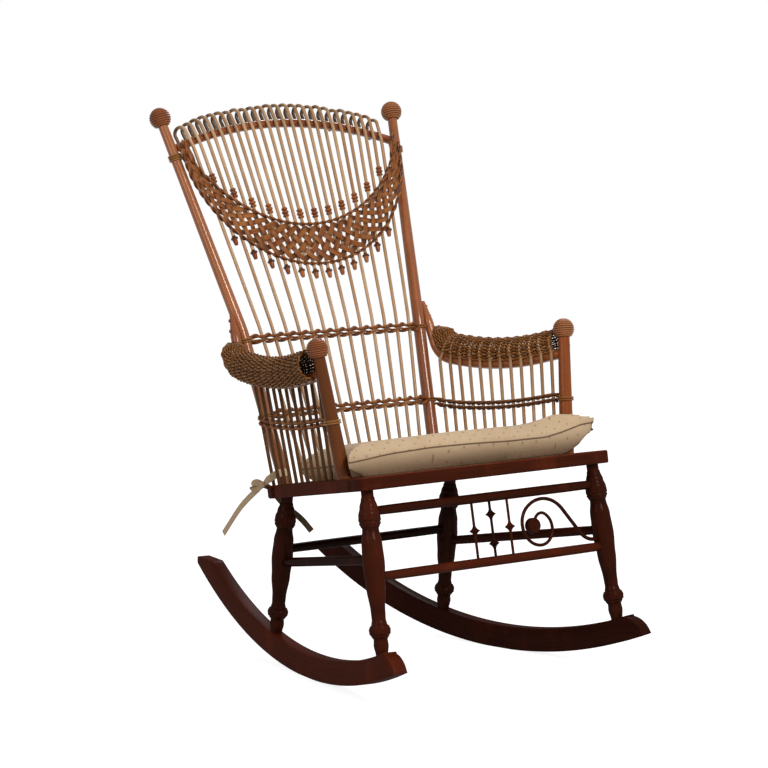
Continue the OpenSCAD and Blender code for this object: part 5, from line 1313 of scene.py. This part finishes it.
# %% [markdown]
# ## Twining of the lower back and the arms
#
# The same pairs of strands hold the lower back and the sticks under the arms, in two lines close
# together. On the back the two lines touch at every stick and part between the sticks, as they do
# where a weaver pulls them tight. Their ends are wound round the posts.

# %% Twining
TWINE_V = {"upper": -20.0, "lower": -171.0}
TWINE_OUT, TWINE_R = STICK_R + 2.1, 2.6


def crossed(path, turning, out_dir, in_dir, out, strand):
    """Two strands of that radius round one line: path + out times the cosine along out_dir + 0.8
    radii times the sine along in_dir, and both with a minus for the second strand."""
    turning = turning[:, None]
    away = out * np.cos(turning) * out_dir + 0.8 * strand * np.sin(turning) * in_dir
    pair = np.stack([path + side * away for side in (1, -1)])
    # Painted shade: each strand is darker where it passes behind.
    deep = np.stack([np.clip(0.35 - 0.5 * side * np.cos(turning[:, 0]), 0, 0.7)
                     for side in (1, -1)])
    return bars(pair, round_profile(strand, 8), out_dir, grime=deep)


def back_line(v, side):
    """Between the posts at height v: half a turn from one plain stick to the next. The two lines
    lie close together at every stick and part between them, by a cosine of twice the angle."""
    reach_x = post_x(v) - post_radius(v) + 2
    x = np.linspace(-reach_x, reach_x, 330)
    near = np.clip((reach_x - abs(x)) / 14, 0, 1)
    turning = pi * x / (2 * stick_step(v))
    part = side * (4.6 - 1.3 * np.cos(2 * turning))
    path = back_point(LOWER_LEAN, x, v + part, STICK_W * near ** 0.5)
    return crossed(path, turning, back_normal(LOWER_LEAN), back_up(LOWER_LEAN), TWINE_OUT, TWINE_R)


for name, v in TWINE_V.items():
    piece(f"{name}_back_twine", [back_line(v, 1), back_line(v, -1)], WOVEN,
          [f"back_{name}_twining"])

# %% [markdown]
# The line under the arm goes through twelve sticks that stand on the seat's side rail and lean
# against the arm rail. Their feet and heads are two even rows, so any point of any stick is a
# share of the way between two rows.

# %% Arm twining
ARM_STICKS, LINE_SHARE, LINE_APART, POST_NEAR = 12, 0.55, 5, 12
FIRST_V, LAST_V, EDGE_IN = 121.5, 393.0, 16
HEAD_AT, HEAD_RUN, HEAD_UP, HEAD_IN = 22, 300, 9, 13.65


def arm_foot(t):
    """Feet in a row on the seat's side rail, EDGE_IN from its edge."""
    v = FIRST_V + (LAST_V - FIRST_V) * np.asarray(t, float)
    return seat_point(side_edge(v) - EDGE_IN, v, SEAT_THICK)


def arm_head(t):
    """Heads on the inner face of the arm rail, HEAD_UP above its middle."""
    s, z, _ = arm_walk(ARM_STEPS, HEAD_AT + HEAD_RUN * np.asarray(t, float))
    return arm_world(s, z + HEAD_UP, -HEAD_IN)


def arm_line(rise):
    """Through the arm sticks at LINE_SHARE of their length, from the arm post to the back post."""
    k = np.arange(ARM_STICKS) / (ARM_STICKS - 1)
    a, b = arm_foot(k), arm_head(k)
    row = a + (b - a) * LINE_SHARE + unit(b - a) * rise
    start = ARM_BASE + ARM_AXIS * ((row[0, 2] - ARM_BASE[2]) / ARM_AXIS[2])
    end = back_point(LOWER_LEAN, post_x(TWINE_V["lower"]), TWINE_V["lower"] + rise, 0)
    start = start + unit(row[0] - start) * POST_NEAR
    end = end + unit(row[-1] - end) * POST_NEAR
    path = flowing(np.concatenate([[start], row, [end]]), 300)
    turning = pi * (np.linspace(0, ARM_STICKS + 1, 300) - 1)
    return crossed(path, turning, OUTWARD, np.array([0, 0, 1.0]), TWINE_OUT, TWINE_R)


both_sides("{}_arm_twine", [arm_line(LINE_APART), arm_line(-LINE_APART)], WOVEN,
           "{}_arm_twining")


# %% [markdown]
# ## Wound balls and wraps
#
# Reed is wound over a turned ball on each post, and two or three turns of it close every weave on
# the posts. A winding is one line: it goes round an axis while its distance and height follow a
# rule, here half a circle from pole to pole for a ball and a plain helix for a wrap.

# %% Windings
WIND_R, WOUND_R, CORE_R, BALL_TURNS, WRAP_PITCH = 1.95, 19.6, 18.2, 10.6, 4.4


def winding(centre, towards, turns, radius, height, tone=None):
    """centre + radius (cosine, sine) square to the axis + height along it, for evenly spaced
    angles; radius and height are functions of the share of the way."""
    axis = unit(np.asarray(towards, float) - centre)
    a = unit(np.cross(axis, [0, 1.0, 0.3]))
    b = np.cross(axis, a)
    t = np.linspace(0, 1, int(turns * 40))
    q = 2 * pi * turns * t
    r, h = radius(t)[:, None], height(t)[:, None]
    path = centre + r * (np.cos(q)[:, None] * a + np.sin(q)[:, None] * b) + h * axis
    return bars(path, round_profile(WIND_R, 8), axis, tone=tone)


def wound_ball(centre, below, last):
    """BALL_TURNS from the pole opposite the post to the angle `last`, then the core inside."""
    first = radians(4)
    turn = winding(centre, below, BALL_TURNS, lambda t: WOUND_R * np.sin(first + (last - first) * t),
                   lambda t: -WOUND_R * np.cos(first + (last - first) * t), tone=0.8)
    q = np.linspace(0.05, pi - 0.5, 24)
    # The core inside the winding is painted dark: painted shade between the turns.
    core = turned(-CORE_R * np.cos(q), CORE_R * np.sin(q), centre, below, 30, tone=0.0, grime=0.8)
    return turn, core


for name, centre, below, last in (("back", BALL, BEND, radians(141)),
                                  ("arm", ARM_BALL, ARM_BASE, radians(136))):
    turn, core = wound_ball(centre, below, last)
    for side in ("right", "left"):
        piece(f"{side}_{name}_ball_reed", turn, BALL_REED,
              [f"{side}_{name}_ball_winding"])
        piece(f"{side}_{name}_ball_core", core, WOVEN, [f"{side}_{name}_ball"])
        if side == "right":
            turn, core = mirrored(turn), mirrored(core)

# %% [markdown]
# A wrap lies just outside its post, two turns where the twining ends and three where the crescent
# does. Both posts' wraps are one piece, as they are in the construction.

# %% Wraps
CRESCENT_V = 362.0


def wrap(centre, towards, radius, turns=2.0):
    """A helix whose middle line lies 1.9 outside the post."""
    return winding(centre, towards, turns, lambda t: radius + 1.9 + 0 * t,
                   lambda t: WRAP_PITCH * turns * (t - 0.5))


def post_point(lean, v):
    """The middle of the right post at height v."""
    return back_point(lean, post_x(v), v, 0)


wraps = [wrap(post_point(UPPER_LEAN, CRESCENT_V), BALL, post_radius(CRESCENT_V), 3.0)]
wraps += [wrap(post_point(LOWER_LEAN, v), BEND, post_radius(v)) for v in TWINE_V.values()]
piece("back_post_windings", wraps + [mirrored(w) for w in wraps], WRAP_REED,
      ["back_post_wraps"])
wrap_z = arm_head(0.0)[2] * LINE_SHARE + arm_foot(0.0)[2] * (1 - LINE_SHARE)
wrap_at = ARM_BASE + ARM_AXIS * ((wrap_z - ARM_BASE[2]) / ARM_AXIS[2])
share = np.linalg.norm(wrap_at - ARM_BASE) / arm_length
arm_wrap = wrap(wrap_at, ARM_BALL, 14 - 2.5 * share)
piece("arm_post_windings", [arm_wrap, mirrored(arm_wrap)], WRAP_REED, ["arm_post_wraps"])

# %% [markdown]
# ## Arm sticks and the woven rolls
#
# The sticks under the arm pass the inner face of the rail and go on as the stakes of the roll:
# they bend over the top and down outside, like a letter C. Between them stand thinner stakes.
# Rows of fine reed run along the arm, before one stake and behind the next, each row opposite to
# its neighbours. So a row's distance from the roll's middle is the roll's radius plus a cosine
# along the arm whose sign changes from row to row, and the skin swells at every stick.

# %% Roll surface
ROLL_STEPS = [[62, 0], [700, 20], [80, 70]]
ROLL_FIRST, ROLL_RISE, ROLL_LAST = 18.0, 285, 400.0
ROLL_R, ROLL_UP, ROLL_OUT = 26.4, 22, 13


def roll_scale(d):
    """The roll keeps its size along the arm and is rounded off at its raised end: one less a
    power of the share of the last stretch."""
    t = np.clip((np.asarray(d, float) - ROLL_RISE) / (ROLL_LAST - ROLL_RISE), 0, 1)
    return 1 - 0.18 * t - 0.4 * t ** 12


def roll_point(d, q, grow):
    """At distance d and angle q round the roll, its radius made larger by grow. The roll's guide
    follows the arm, but turns up in a wider curve behind, and ends outside the rising rail."""
    d, q, grow = np.broadcast_arrays(np.asarray(d, float), q, grow)
    s, z, h = arm_walk(ROLL_STEPS, d)
    k = roll_scale(d)
    r = ROLL_R * k + grow * (0.35 + 0.65 * k)
    up = ROLL_UP * k + r * np.sin(q)
    back = np.clip((d - ROLL_RISE) / 90, 0, 1)
    return arm_world(s - up * np.sin(h) - 9 * back, z + up * np.cos(h),
                     ROLL_OUT * k + 5 * back + r * np.cos(q))


# %% [markdown]
# A stick is two stretches: straight from the seat to the arm rail, and round the roll's middle
# surface, where it is shaved thinner. The sticks get painted shade under the roll, and the left
# arm's sticks, which stand in the shade of their roll, are painted darker all over, in a darker
# reed.

# %% Arm sticks
first_q, last_q = radians(203), radians(-96)
k = np.arange(ARM_STICKS) / (ARM_STICKS - 1)
stick_d = HEAD_AT + HEAD_RUN * k
t = np.linspace(0, 1, 16, endpoint=False)[None, :, None]
stick_foot = arm_foot(k) - unit(arm_head(k) - arm_foot(k)) * 4
straight = stick_foot[:, None] * (1 - t) + arm_head(k)[:, None] * t
over = roll_point(stick_d[:, None], np.linspace(first_q - 0.02, last_q, 34)[None], 0)
sticks = waver(np.concatenate([straight, over], axis=1), 0.5)
thin = np.concatenate([np.ones(16), np.linspace(0.85, 0.5, 8), np.full(26, 0.5)])
# Painted shade on the sticks' upper straight part, under the roll.
shade_under_roll = 0.55 * np.clip((sticks[..., 2] - 470) / 90, 0, 1) * (np.arange(sticks.shape[1]) < 17)
arm_reeds = bars(sticks, round_profile(STICK_R, 12), [0.2, 1, 0], thin,
                 grime=0.12 + shade_under_roll * 0.4)
piece("right_arm_reeds", arm_reeds, REED, ["right_arm_sticks"])
outside = mirrored(arm_reeds)
# Painted shade on the left arm's sticks, which stand in the shade of their roll.
outside["grime"] = np.clip(outside["grime"] * 1.5 + 0.34, 0, 0.85)
piece("left_arm_reeds", outside, SHADED_REED, ["left_arm_sticks"])

# %% [markdown]
# The thinner stakes stand half way between the sticks and go on in the raised end. The rows of the
# weave lie at even angles round the roll, each with a slow wander and a thickness of its own, so
# that no two of them are alike.

# %% The weave
SPACES = 2 * (ARM_STICKS - 1)
STAKE_STEP = HEAD_RUN / SPACES
ROWS, REED_OUT, STICK_SWELL = 47, 2.5, 0.9
stake_d = np.concatenate([HEAD_AT + STAKE_STEP * np.arange(1, SPACES, 2),
                          np.arange(HEAD_AT + STAKE_STEP * (SPACES + 1), ROLL_LAST - 3,
                                    STAKE_STEP)])
stake_path = roll_point(stake_d[:, None], np.linspace(first_q, last_q, 34)[None], 0)
# The stakes inside the weave get painted shade: 0.5 all over.
stakes = bars(stake_path, round_profile(1.5, 8), [0.2, 1, 0], grime=0.5)
row_q = np.linspace(first_q + 0.02, last_q + 0.02, ROWS)[:, None]
d = np.linspace(ROLL_FIRST, ROLL_LAST, 170)[None]
parity = np.where(np.arange(ROWS) % 2, -1.0, 1.0)[:, None]
swing = np.cos(pi * (d - HEAD_AT) / STAKE_STEP) * parity
swell = STICK_SWELL * np.cos(pi * (d - HEAD_AT) / STAKE_STEP)
wander = sum(size * np.sin(d / wave_length + rng.uniform(0, 6, (ROWS, 1)))
             for size, wave_length in ((0.012, 31), (0.008, 11)))
rows = roll_point(d, row_q + wander, REED_OUT * swing + swell)
# Grime and painted shade where a row goes in behind a stake.
deep = np.clip(0.36 - 0.6 * swing, 0, 0.88)
thick = (0.45 + 0.55 * roll_scale(d)) * (1 + 0.07 * rng.standard_normal((ROWS, 1)))
weave = bars(rows, round_profile(1.5, 6), OUTWARD, thick, grime=deep)


# %% [markdown]
# A twisted pair of strands closes the weave all round: one at the front end, one at the raised end
# and one along each of the two long edges.

# %% Rims
RIM_OUT = 1.7


def rim(at, q, turns, size=1.7):
    """A pair of strands twisted round the roll's edge line, by half a turn for each of `turns`."""
    line = roll_point(at, q, 0)
    turning = np.linspace(0, pi * turns, line.shape[0])
    along = unit(np.gradient(line, axis=0))
    side = unit(np.cross(along, OUTWARD + [0, 0, 0.01]))
    return crossed(line, turning, side, np.cross(along, side), RIM_OUT, size)


q = np.linspace(first_q, last_q, 200)
d = np.linspace(ROLL_FIRST, ROLL_LAST, 300)
rims = [rim(ROLL_FIRST, q, 12), rim(ROLL_LAST, q, 5, 1.0),
        rim(d, first_q + 0.09, 29), rim(d, last_q - 0.05, 29, 1.4)]
# The left roll gets painted shade: 0.18 on top of its own.
both_sides("{}_woven_roll", [weave, stakes] + rims, ROLL_REED, "{}_arm_roll",
           left=0.18)

# %% [markdown]
# ## Cushion
#
# A flat box of cloth would look like a brick. A real cushion is two panels sewn at their edges and
# filled, so its sides pull in between the corners and the edge is one seam. The start is that
# shape, a little too small. A cloth simulation blows it up with pressure and no gravity, and how
# far a point may move is capped. What would go into the seat is laid flat on it.

# %% Cushion shape
CUSHION_T, START_SIZE = 62.0, 0.985
CORNERS = np.array([(184, 128), (250, ARM_BASE[1] + 2), (337, -203), (0, -204), (-298, -196),
                    (-250, ARM_BASE[1] + 2), (-184, 128), (0, 118)], float)
CENTRE = np.array([0.0, -48.0])
DRAWN_IN = np.array([5.0, 12, 2, 2, 5, 5, 5, 5])[:, None, None]


def cushion_edge():
    """The outline: each side runs straight between two corners and is drawn in by half a sine. Then
    every point goes a quarter of the way to each neighbour, which rounds the corners."""
    a, b = CORNERS, np.roll(CORNERS, -1, 0)
    t = np.arange(14)[:, None] / 14
    inward = unit(np.stack([a[:, 1] - b[:, 1], b[:, 0] - a[:, 0]], -1))
    edge = a[:, None] + (b - a)[:, None] * t - inward[:, None] * DRAWN_IN * np.sin(pi * t)
    edge = edge.reshape(-1, 2)
    return (np.roll(edge, 1, 0) + 2 * edge + np.roll(edge, -1, 0)) / 4


EDGE = cushion_edge()
SEAM_AT = [-298, -200, -100, 0, 100, 200, 256, 333]
SEAM_UP = [29, 38, 41, 40, 37, 37, 46, 66]


def soft_step(t):
    """0 below 0, 1 above 1, and 3 t squared - 2 t cubed between."""
    t = np.clip(t, 0, 1)
    return t * t * (3 - 2 * t)


def edge_lift(p):
    """Height of the seam over the seat: 25, and along the front read from the short table."""
    front = np.clip((-p[:, 1] - 120) / 80, 0, 1)
    return 25 + front * (np.interp(p[:, 0], SEAM_AT, SEAM_UP) - 25)


def cushion_top(x, y):
    """Thickness, more where the two front ears are pushed up by the arm posts."""
    extra = (8 * (1 - np.clip(x / 298, -1, 1) ** 2) + 31 * soft_step((x - 150) / 130)
             + 12 * soft_step((-x - 200) / 90))
    return CUSHION_T + soft_step((-y - 110) / 80) * extra


def cushion_point(s, face):
    """s is the share of the way out, made a little smaller. The crown (1 - s^6)^(1/2.2), with s^12
    below, is nearly 1 inside and falls steeply at the edge: above the seam the height is seam +
    (top - seam) crown, below it seam (1 - crown), and under the right ear the bottom lifts off."""
    p = CENTRE + (EDGE - CENTRE) * s * START_SIZE
    seam = edge_lift(EDGE) * s + 0.42 * CUSHION_T * (1 - s)
    crown = np.maximum(1 - s ** (6 if face > 0 else 12), 0) ** (1 / 2.2)
    top = cushion_top(p[:, 0], p[:, 1]) - 3 - 4 * s ** 2
    under = 50 * soft_step((-p[:, 1] - 120) / 80) * np.clip((p[:, 0] - 262) / 68, 0, 1) ** 1.5
    h = seam + (top - seam) * crown if face > 0 else under + (seam - under) * (1 - crown)
    return seat_point(p[:, 0], seat_v(p[:, 1], SEAT_THICK), SEAT_THICK + 0.6 + h)


shares = np.sin(np.linspace(0.2, pi / 2, 17))
rings = np.stack([cushion_point(s, -1) for s in shares]
                 + [cushion_point(s, 1) for s in shares[::-1][1:]])[None]
ends = np.stack([rings[0, 0].mean(0), rings[0, -1].mean(0)])[None]
start_skin = skin(rings, ends, np.zeros((1, 1, 1, 2)), np.zeros((1, 1)))
print("cushion start", len(start_skin["points"]), "points")


# %% [markdown]
# The cover is a pale woven cloth with a small darker figure in a slanting grid. A picture of cloth
# would need seams in a map, so the grid is worked out instead: the place on the unfolded cloth is
# turned by 45 degrees and cut into cells, and each cell is dark near its middle.

# %% Cloth finish
FIGURE_GRID, THREADS = 1 / 0.0255, 5200


def cloth_finish():
    """Woven cloth: a fine over and under weave as a dent, which is three sine waves, the figures,
    soft patches of use, and a little sheen."""
    material = bpy.data.materials.new("cushion_cloth")
    material.use_nodes = True
    tree = material.node_tree
    shader = tree.nodes["Principled BSDF"]
    place = node(tree, "ShaderNodeTexCoord").outputs["Object"]
    cut = node(tree, "ShaderNodeAttribute", attribute_name="grain")
    dirt_and_shade = node(tree, "ShaderNodeAttribute", attribute_name="grime")
    turned_place = node(tree, "ShaderNodeMapping",
                        {"Vector": cut.outputs["Vector"], "Rotation": (0, 0, radians(45))})
    cells = node(tree, "ShaderNodeVectorMath",
                 {0: turned_place.outputs[0], 1: (FIGURE_GRID, FIGURE_GRID, 0)},
                 operation="MULTIPLY")
    inside = node(tree, "ShaderNodeVectorMath", {0: cells.outputs[0]}, operation="FRACTION")
    centred = node(tree, "ShaderNodeVectorMath", {0: inside.outputs[0], 1: (0.5, 0.5, 0)},
                   operation="SUBTRACT")
    away = node(tree, "ShaderNodeVectorMath", {0: centred.outputs[0]}, operation="LENGTH")
    fray = node(tree, "ShaderNodeTexNoise", {"Vector": place, "Scale": 900.0, "Detail": 2.0})
    ragged = node(tree, "ShaderNodeMath",
                  {0: fray.outputs["Fac"], 1: 0.1, 2: away.outputs["Value"]},
                  operation="MULTIPLY_ADD")
    dot = node(tree, "ShaderNodeMapRange",
               {"Value": ragged.outputs[0], "From Min": 0.12, "From Max": 0.175,
                "To Min": 0.62, "To Max": 0.0})
    threads = node(tree, "ShaderNodeVectorMath", {0: place, 1: (THREADS, THREADS, THREADS)},
                   operation="MULTIPLY")
    parts = node(tree, "ShaderNodeSeparateXYZ", {0: threads.outputs[0]})
    waves = [node(tree, "ShaderNodeMath", {0: parts.outputs[axis]}, operation="SINE").outputs[0]
             for axis in (0, 1, 2)]
    weave_a = node(tree, "ShaderNodeMath", {0: waves[0], 1: waves[1]}, operation="MULTIPLY")
    weave_b = node(tree, "ShaderNodeMath", {0: weave_a.outputs[0], 1: waves[2]}, operation="ADD")
    slub = node(tree, "ShaderNodeTexNoise",
                {"Vector": place, "Scale": 260.0, "Detail": 4.0, "Roughness": 0.7})
    hand = node(tree, "ShaderNodeGroup", node_tree=handling)
    tree.links.new(place, hand.inputs["Place"])
    base = mixed(tree, slub.outputs["Fac"], colour("c6a780"), colour("dec3a2"))
    base = mixed(tree, dot.outputs[0], base, colour("8c6238"))
    soiled = node(tree, "ShaderNodeMath", {0: hand.outputs["Dusty"], 1: 0.22}, operation="MULTIPLY")
    base = mixed(tree, soiled.outputs[0], base, colour("a98455"))
    # The dark note is painted shade here: low on the cushion's front panel, along the seam and on
    # the ties' hidden ends.
    base = mixed(tree, dirt_and_shade.outputs["Fac"], base, colour("4e3018"))
    tree.links.new(base, shader.inputs["Base Color"])
    height = node(tree, "ShaderNodeMath", {0: weave_b.outputs[0], 1: slub.outputs["Fac"]},
                  operation="ADD")
    bump = node(tree, "ShaderNodeBump",
                {"Height": height.outputs[0], "Strength": 0.35, "Distance": 0.0004})
    tree.links.new(bump.outputs[0], shader.inputs["Normal"])
    rough = node(tree, "ShaderNodeMapRange",
                 {"Value": slub.outputs["Fac"], "To Min": 0.78, "To Max": 0.95})
    tree.links.new(rough.outputs[0], shader.inputs["Roughness"])
    shader.inputs["Sheen Weight"].default_value = 0.12
    shader.inputs["Specular IOR Level"].default_value = 0.15
    return material


CLOTH = cloth_finish()
cushion = piece("seat_cushion_cloth", start_skin, CLOTH, ["seat_cushion"])

# %% [markdown]
# Now the cushion is filled. Cloth needs an even mesh, so the start is remeshed first. After the
# cloth has swollen, it is laid on the seat, and the notes for the finish are written again, because
# the even mesh has lost them: the place on the unfolded cloth, which hangs down over the front and
# the sides, and the painted shade low on the front, darker towards the seat.

# %% Filling
VOXEL, PRESSURE, FRAMES, SWELL_CAP = 0.005, 4.0, 20, 0.006
SEAT_GAP, OVER_TOP = 0.5, 3


def blown_up(made, cap):
    """Voxel remesh, cloth with pressure and no gravity, then each point goes where the cloth took
    it, but no further than cap."""
    scene = bpy.context.scene
    bpy.context.view_layer.objects.active = made
    remesh = made.modifiers.new("even_mesh", "REMESH")
    remesh.mode, remesh.voxel_size = "VOXEL", VOXEL
    bpy.ops.object.modifier_apply(modifier=remesh.name)
    count = len(made.data.vertices)
    before = np.empty(count * 3, np.float32)
    made.data.vertices.foreach_get("co", before)
    cloth = made.modifiers.new("filled", "CLOTH")
    cloth.settings.use_pressure = True
    cloth.settings.uniform_pressure_force = PRESSURE
    cloth.settings.effector_weights.gravity = 0.0
    cloth.settings.tension_stiffness = 12.0
    cloth.point_cache.frame_start, cloth.point_cache.frame_end = 1, FRAMES
    for number in range(1, FRAMES + 1):
        scene.frame_set(number)
    shown = made.evaluated_get(bpy.context.evaluated_depsgraph_get()).to_mesh()
    after = np.empty(count * 3, np.float32)
    shown.vertices.foreach_get("co", after)
    made.modifiers.remove(cloth)
    scene.frame_set(1)
    move = (after - before).reshape(-1, 3)
    far = np.linalg.norm(move, axis=1, keepdims=True)
    move *= np.minimum(1, cap / np.maximum(far, 1e-9))
    before = (before.reshape(-1, 3) + move).ravel()
    print("cloth moved", round(float(far.mean()) * 1000, 1), "mm on average,",
          round(float(far.max()) * 1000, 1), "at most")
    return before.reshape(-1, 3)


def over_seat(points):
    """Drawing places of the points and their heights over the seat."""
    mm = on_drawing(points)
    return mm, (mm - seat_point(0, 0, SEAT_THICK)) @ SEAT_UP


def laid_on_seat(points):
    """No height over the seat is below SEAT_GAP or passes the cushion's top by over OVER_TOP."""
    mm, h = over_seat(points)
    fixed = np.clip(h, SEAT_GAP, cushion_top(mm[:, 0], mm[:, 1]) + OVER_TOP)
    return in_place(mm + (fixed - h)[:, None] * SEAT_UP)


places = laid_on_seat(blown_up(cushion, SWELL_CAP))
cushion.data.vertices.foreach_set("co", places.astype(np.float32).ravel())
cushion.data.polygons.foreach_set("use_smooth", np.ones(len(cushion.data.polygons), bool))
mm, h = over_seat(places)
x, y = mm[:, 0], mm[:, 1]
hang = cushion_top(x, y) - h
cut = np.stack([x + hang * (x / 322) ** 5, y - hang * np.clip((-y - 165) / 30, 0, 1), 0 * h], -1)
# Painted shade on the cushion's front panel, darker towards the seat.
shade = 0.9 * np.clip(1 - h / 48, 0, 1) ** 1.3 * np.clip((-y - 150) / 40, 0, 1)
for key, kind, field, values in (("grain", "FLOAT_VECTOR", "vector", cut * MM),
                                 ("grime", "FLOAT", "value", shade)):
    old = cushion.data.attributes.get(key)
    if old is not None:
        cushion.data.attributes.remove(old)
    note = cushion.data.attributes.new(key, kind, "POINT")
    note.data.foreach_set(field, values.astype(np.float32).ravel())
cushion.data.update()
smoother = cushion.modifiers.new("finer", "SUBSURF")
smoother.levels = smoother.render_levels = 1
print("cushion", len(cushion.data.vertices), "points")

# %% [markdown]
# The seam comes last, because the even mesh would swallow it. Rays go from outside towards the
# middle at the seam's height, a little lower at the right ear, and a thin rolled edge of the same
# cloth, painted dark as the shade along the seam, is laid where they meet the cushion.

# %% Seam
def seam_line():
    """Where rays from 60 mm outside the outline, level with the seam, meet the cushion; a ray that
    meets nothing gives its own end."""
    tree = BVHTree.FromObject(cushion, bpy.context.evaluated_depsgraph_get())
    lift = edge_lift(EDGE) - 8 * soft_step((EDGE[:, 0] - 280) / 50)
    out = unit(EDGE - CENTRE)
    begin, stop = [in_place(seat_point(p[:, 0], seat_v(p[:, 1], SEAT_THICK), SEAT_THICK + lift))
                   for p in (EDGE + out * 60, CENTRE + 0 * EDGE)]
    hits = [tree.ray_cast(Vector(b), Vector(e - b).normalized())[0] for b, e in zip(begin, stop)]
    return on_drawing(np.array([e if h is None else h for h, e in zip(hits, stop)]))


line = seam_line()
loop = np.concatenate([line, line[:1]])
seam_path = flowing(loop, 420)
# The seam's roll is painted dark: the shade along the seam.
piece("cushion_seam", bars(seam_path, round_profile(1.5, 8), SEAT_UP, grime=0.8), CLOTH)

# %% [markdown]
# ## Ties
#
# At each rear corner a sewn band of the same cloth comes from the cushion, is knotted beside the
# seat and hangs in a bow and two ends. A band is modelled directly: a soft flat profile along a
# flowing path, a little thinner where it is pulled into the knot. The two ties share the strap,
# the bow and the long end; the short end falls behind the seat on the left and behind the rear
# leg on the right.

# %% Ties
KNOT, KNOT_R = np.array([-243.0, 147.3, 352.3]), 6.3
STRAP = [[44, -25, 24], [30, -18, 23], [18, -14, 19], [7, -7, 10], [0, 0, 0]]
BOW_LOOP = [[0, 0, 1], [-5, 8, 4], [-10, 16, 2], [-12, 18, -5], [-9, 13, -8], [-4, 5, -5],
            [0, 0, -1]]
LONG_END = [[0, 0, 0], [-6, 14, -12], [-18, 50, -48], [-32, 88, -103]]
BEHIND_SEAT = [[0, 0, 0], [16, 26, -4], [40, 34, -14], [60, 30, -38], [70, 14, -54],
               [84, -10, -74], [98, -24, -97]]
BEHIND_LEG = [[0, 0, 0], [-2, 8, -18], [6, 16, -38], [10, 18, -62], [12, 18, -88]]


def cloth_band(points, n, half_width, grime=0.0):
    """A flat profile 2.2 thick along the points, drawn together to 0.55 at the knot."""
    path = flowing(KNOT + np.asarray(points, float), n)
    near = np.clip(np.linalg.norm(path - KNOT, axis=1) / 14, 0, 1)
    return bars(path, band_profile(half_width, 1.1, 12, 3.0), (0.3, 0.2, 1.0), 0.55 + 0.45 * near,
                tone=0.4, grime=grime)


knot_q = np.linspace(0.08, pi - 0.08, 18)
knot_r = KNOT_R * np.sin(knot_q) * (1 + 0.06 * np.sin(5 * knot_q))
knot = turned(-KNOT_R * np.cos(knot_q), knot_r, KNOT, KNOT + [0.4, 0.5, 1.0], 24, tone=0.4)
bow = [knot, cloth_band(STRAP, 60, 7.4), cloth_band(BOW_LOOP, 70, 7.0),
       cloth_band(LONG_END, 60, 7.4)]
# Painted shade on the hidden ends: 0.7 behind the seat, 0.5 behind the leg.
loose, tucked = cloth_band(BEHIND_SEAT, 70, 6.0, 0.7), cloth_band(BEHIND_LEG, 60, 5.6, 0.5)
piece("left_cloth_tie", bow + [loose], CLOTH, ["left_cushion_tie"])
piece("right_cloth_tie", [mirrored(s) for s in bow + [tucked]], CLOTH,
      ["right_cushion_tie"])

# %% [markdown]
# ## What stays as it is
#
# The nails and the spline keep their construction mesh, which is exact already. They only get a
# finish: dull steel with a film of rust, and reed for the spline.

# %% Nails and spline
def steel_finish():
    """Dull steel: a dark grey metal with rust in large grain noise and a rough, uneven surface."""
    material = bpy.data.materials.new("old_steel")
    material.use_nodes = True
    tree = material.node_tree
    shader = tree.nodes["Principled BSDF"]
    place = node(tree, "ShaderNodeTexCoord").outputs["Object"]
    rust = node(tree, "ShaderNodeTexNoise", {"Vector": place, "Scale": 900.0, "Detail": 4.0})
    base = mixed(tree, rust.outputs["Fac"], colour("5c5650"), colour("6b3c20"))
    tree.links.new(base, shader.inputs["Base Color"])
    rough = node(tree, "ShaderNodeMapRange",
                 {"Value": rust.outputs["Fac"], "To Min": 0.35, "To Max": 0.7})
    tree.links.new(rough.outputs[0], shader.inputs["Roughness"])
    bump = node(tree, "ShaderNodeBump",
                {"Height": rust.outputs["Fac"], "Strength": 0.4, "Distance": 0.0002})
    tree.links.new(bump.outputs[0], shader.inputs["Normal"])
    shader.inputs["Metallic"].default_value = 0.85
    return material


def spline_finish():
    """Reed without notes of its own: streaks run across the seat in object coordinates."""
    material = bpy.data.materials.new("spline_reed")
    material.use_nodes = True
    tree = material.node_tree
    shader = tree.nodes["Principled BSDF"]
    place = node(tree, "ShaderNodeTexCoord").outputs["Object"]
    wood = node(tree, "ShaderNodeGroup", node_tree=figure)
    tree.links.new(place, wood.inputs["Place"])
    base = mixed(tree, wood.outputs["Figure"], colour("9a6a38"), colour("c09458"))
    tree.links.new(base, shader.inputs["Base Color"])
    bump = node(tree, "ShaderNodeBump",
                {"Height": wood.outputs["Figure"], "Strength": 0.5, "Distance": 0.0002})
    tree.links.new(bump.outputs[0], shader.inputs["Normal"])
    return material


for name, material in (("arm_rail_nails", steel_finish()), ("cane_spline", spline_finish())):
    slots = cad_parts[name].data.materials
    slots.clear()
    slots.append(material)
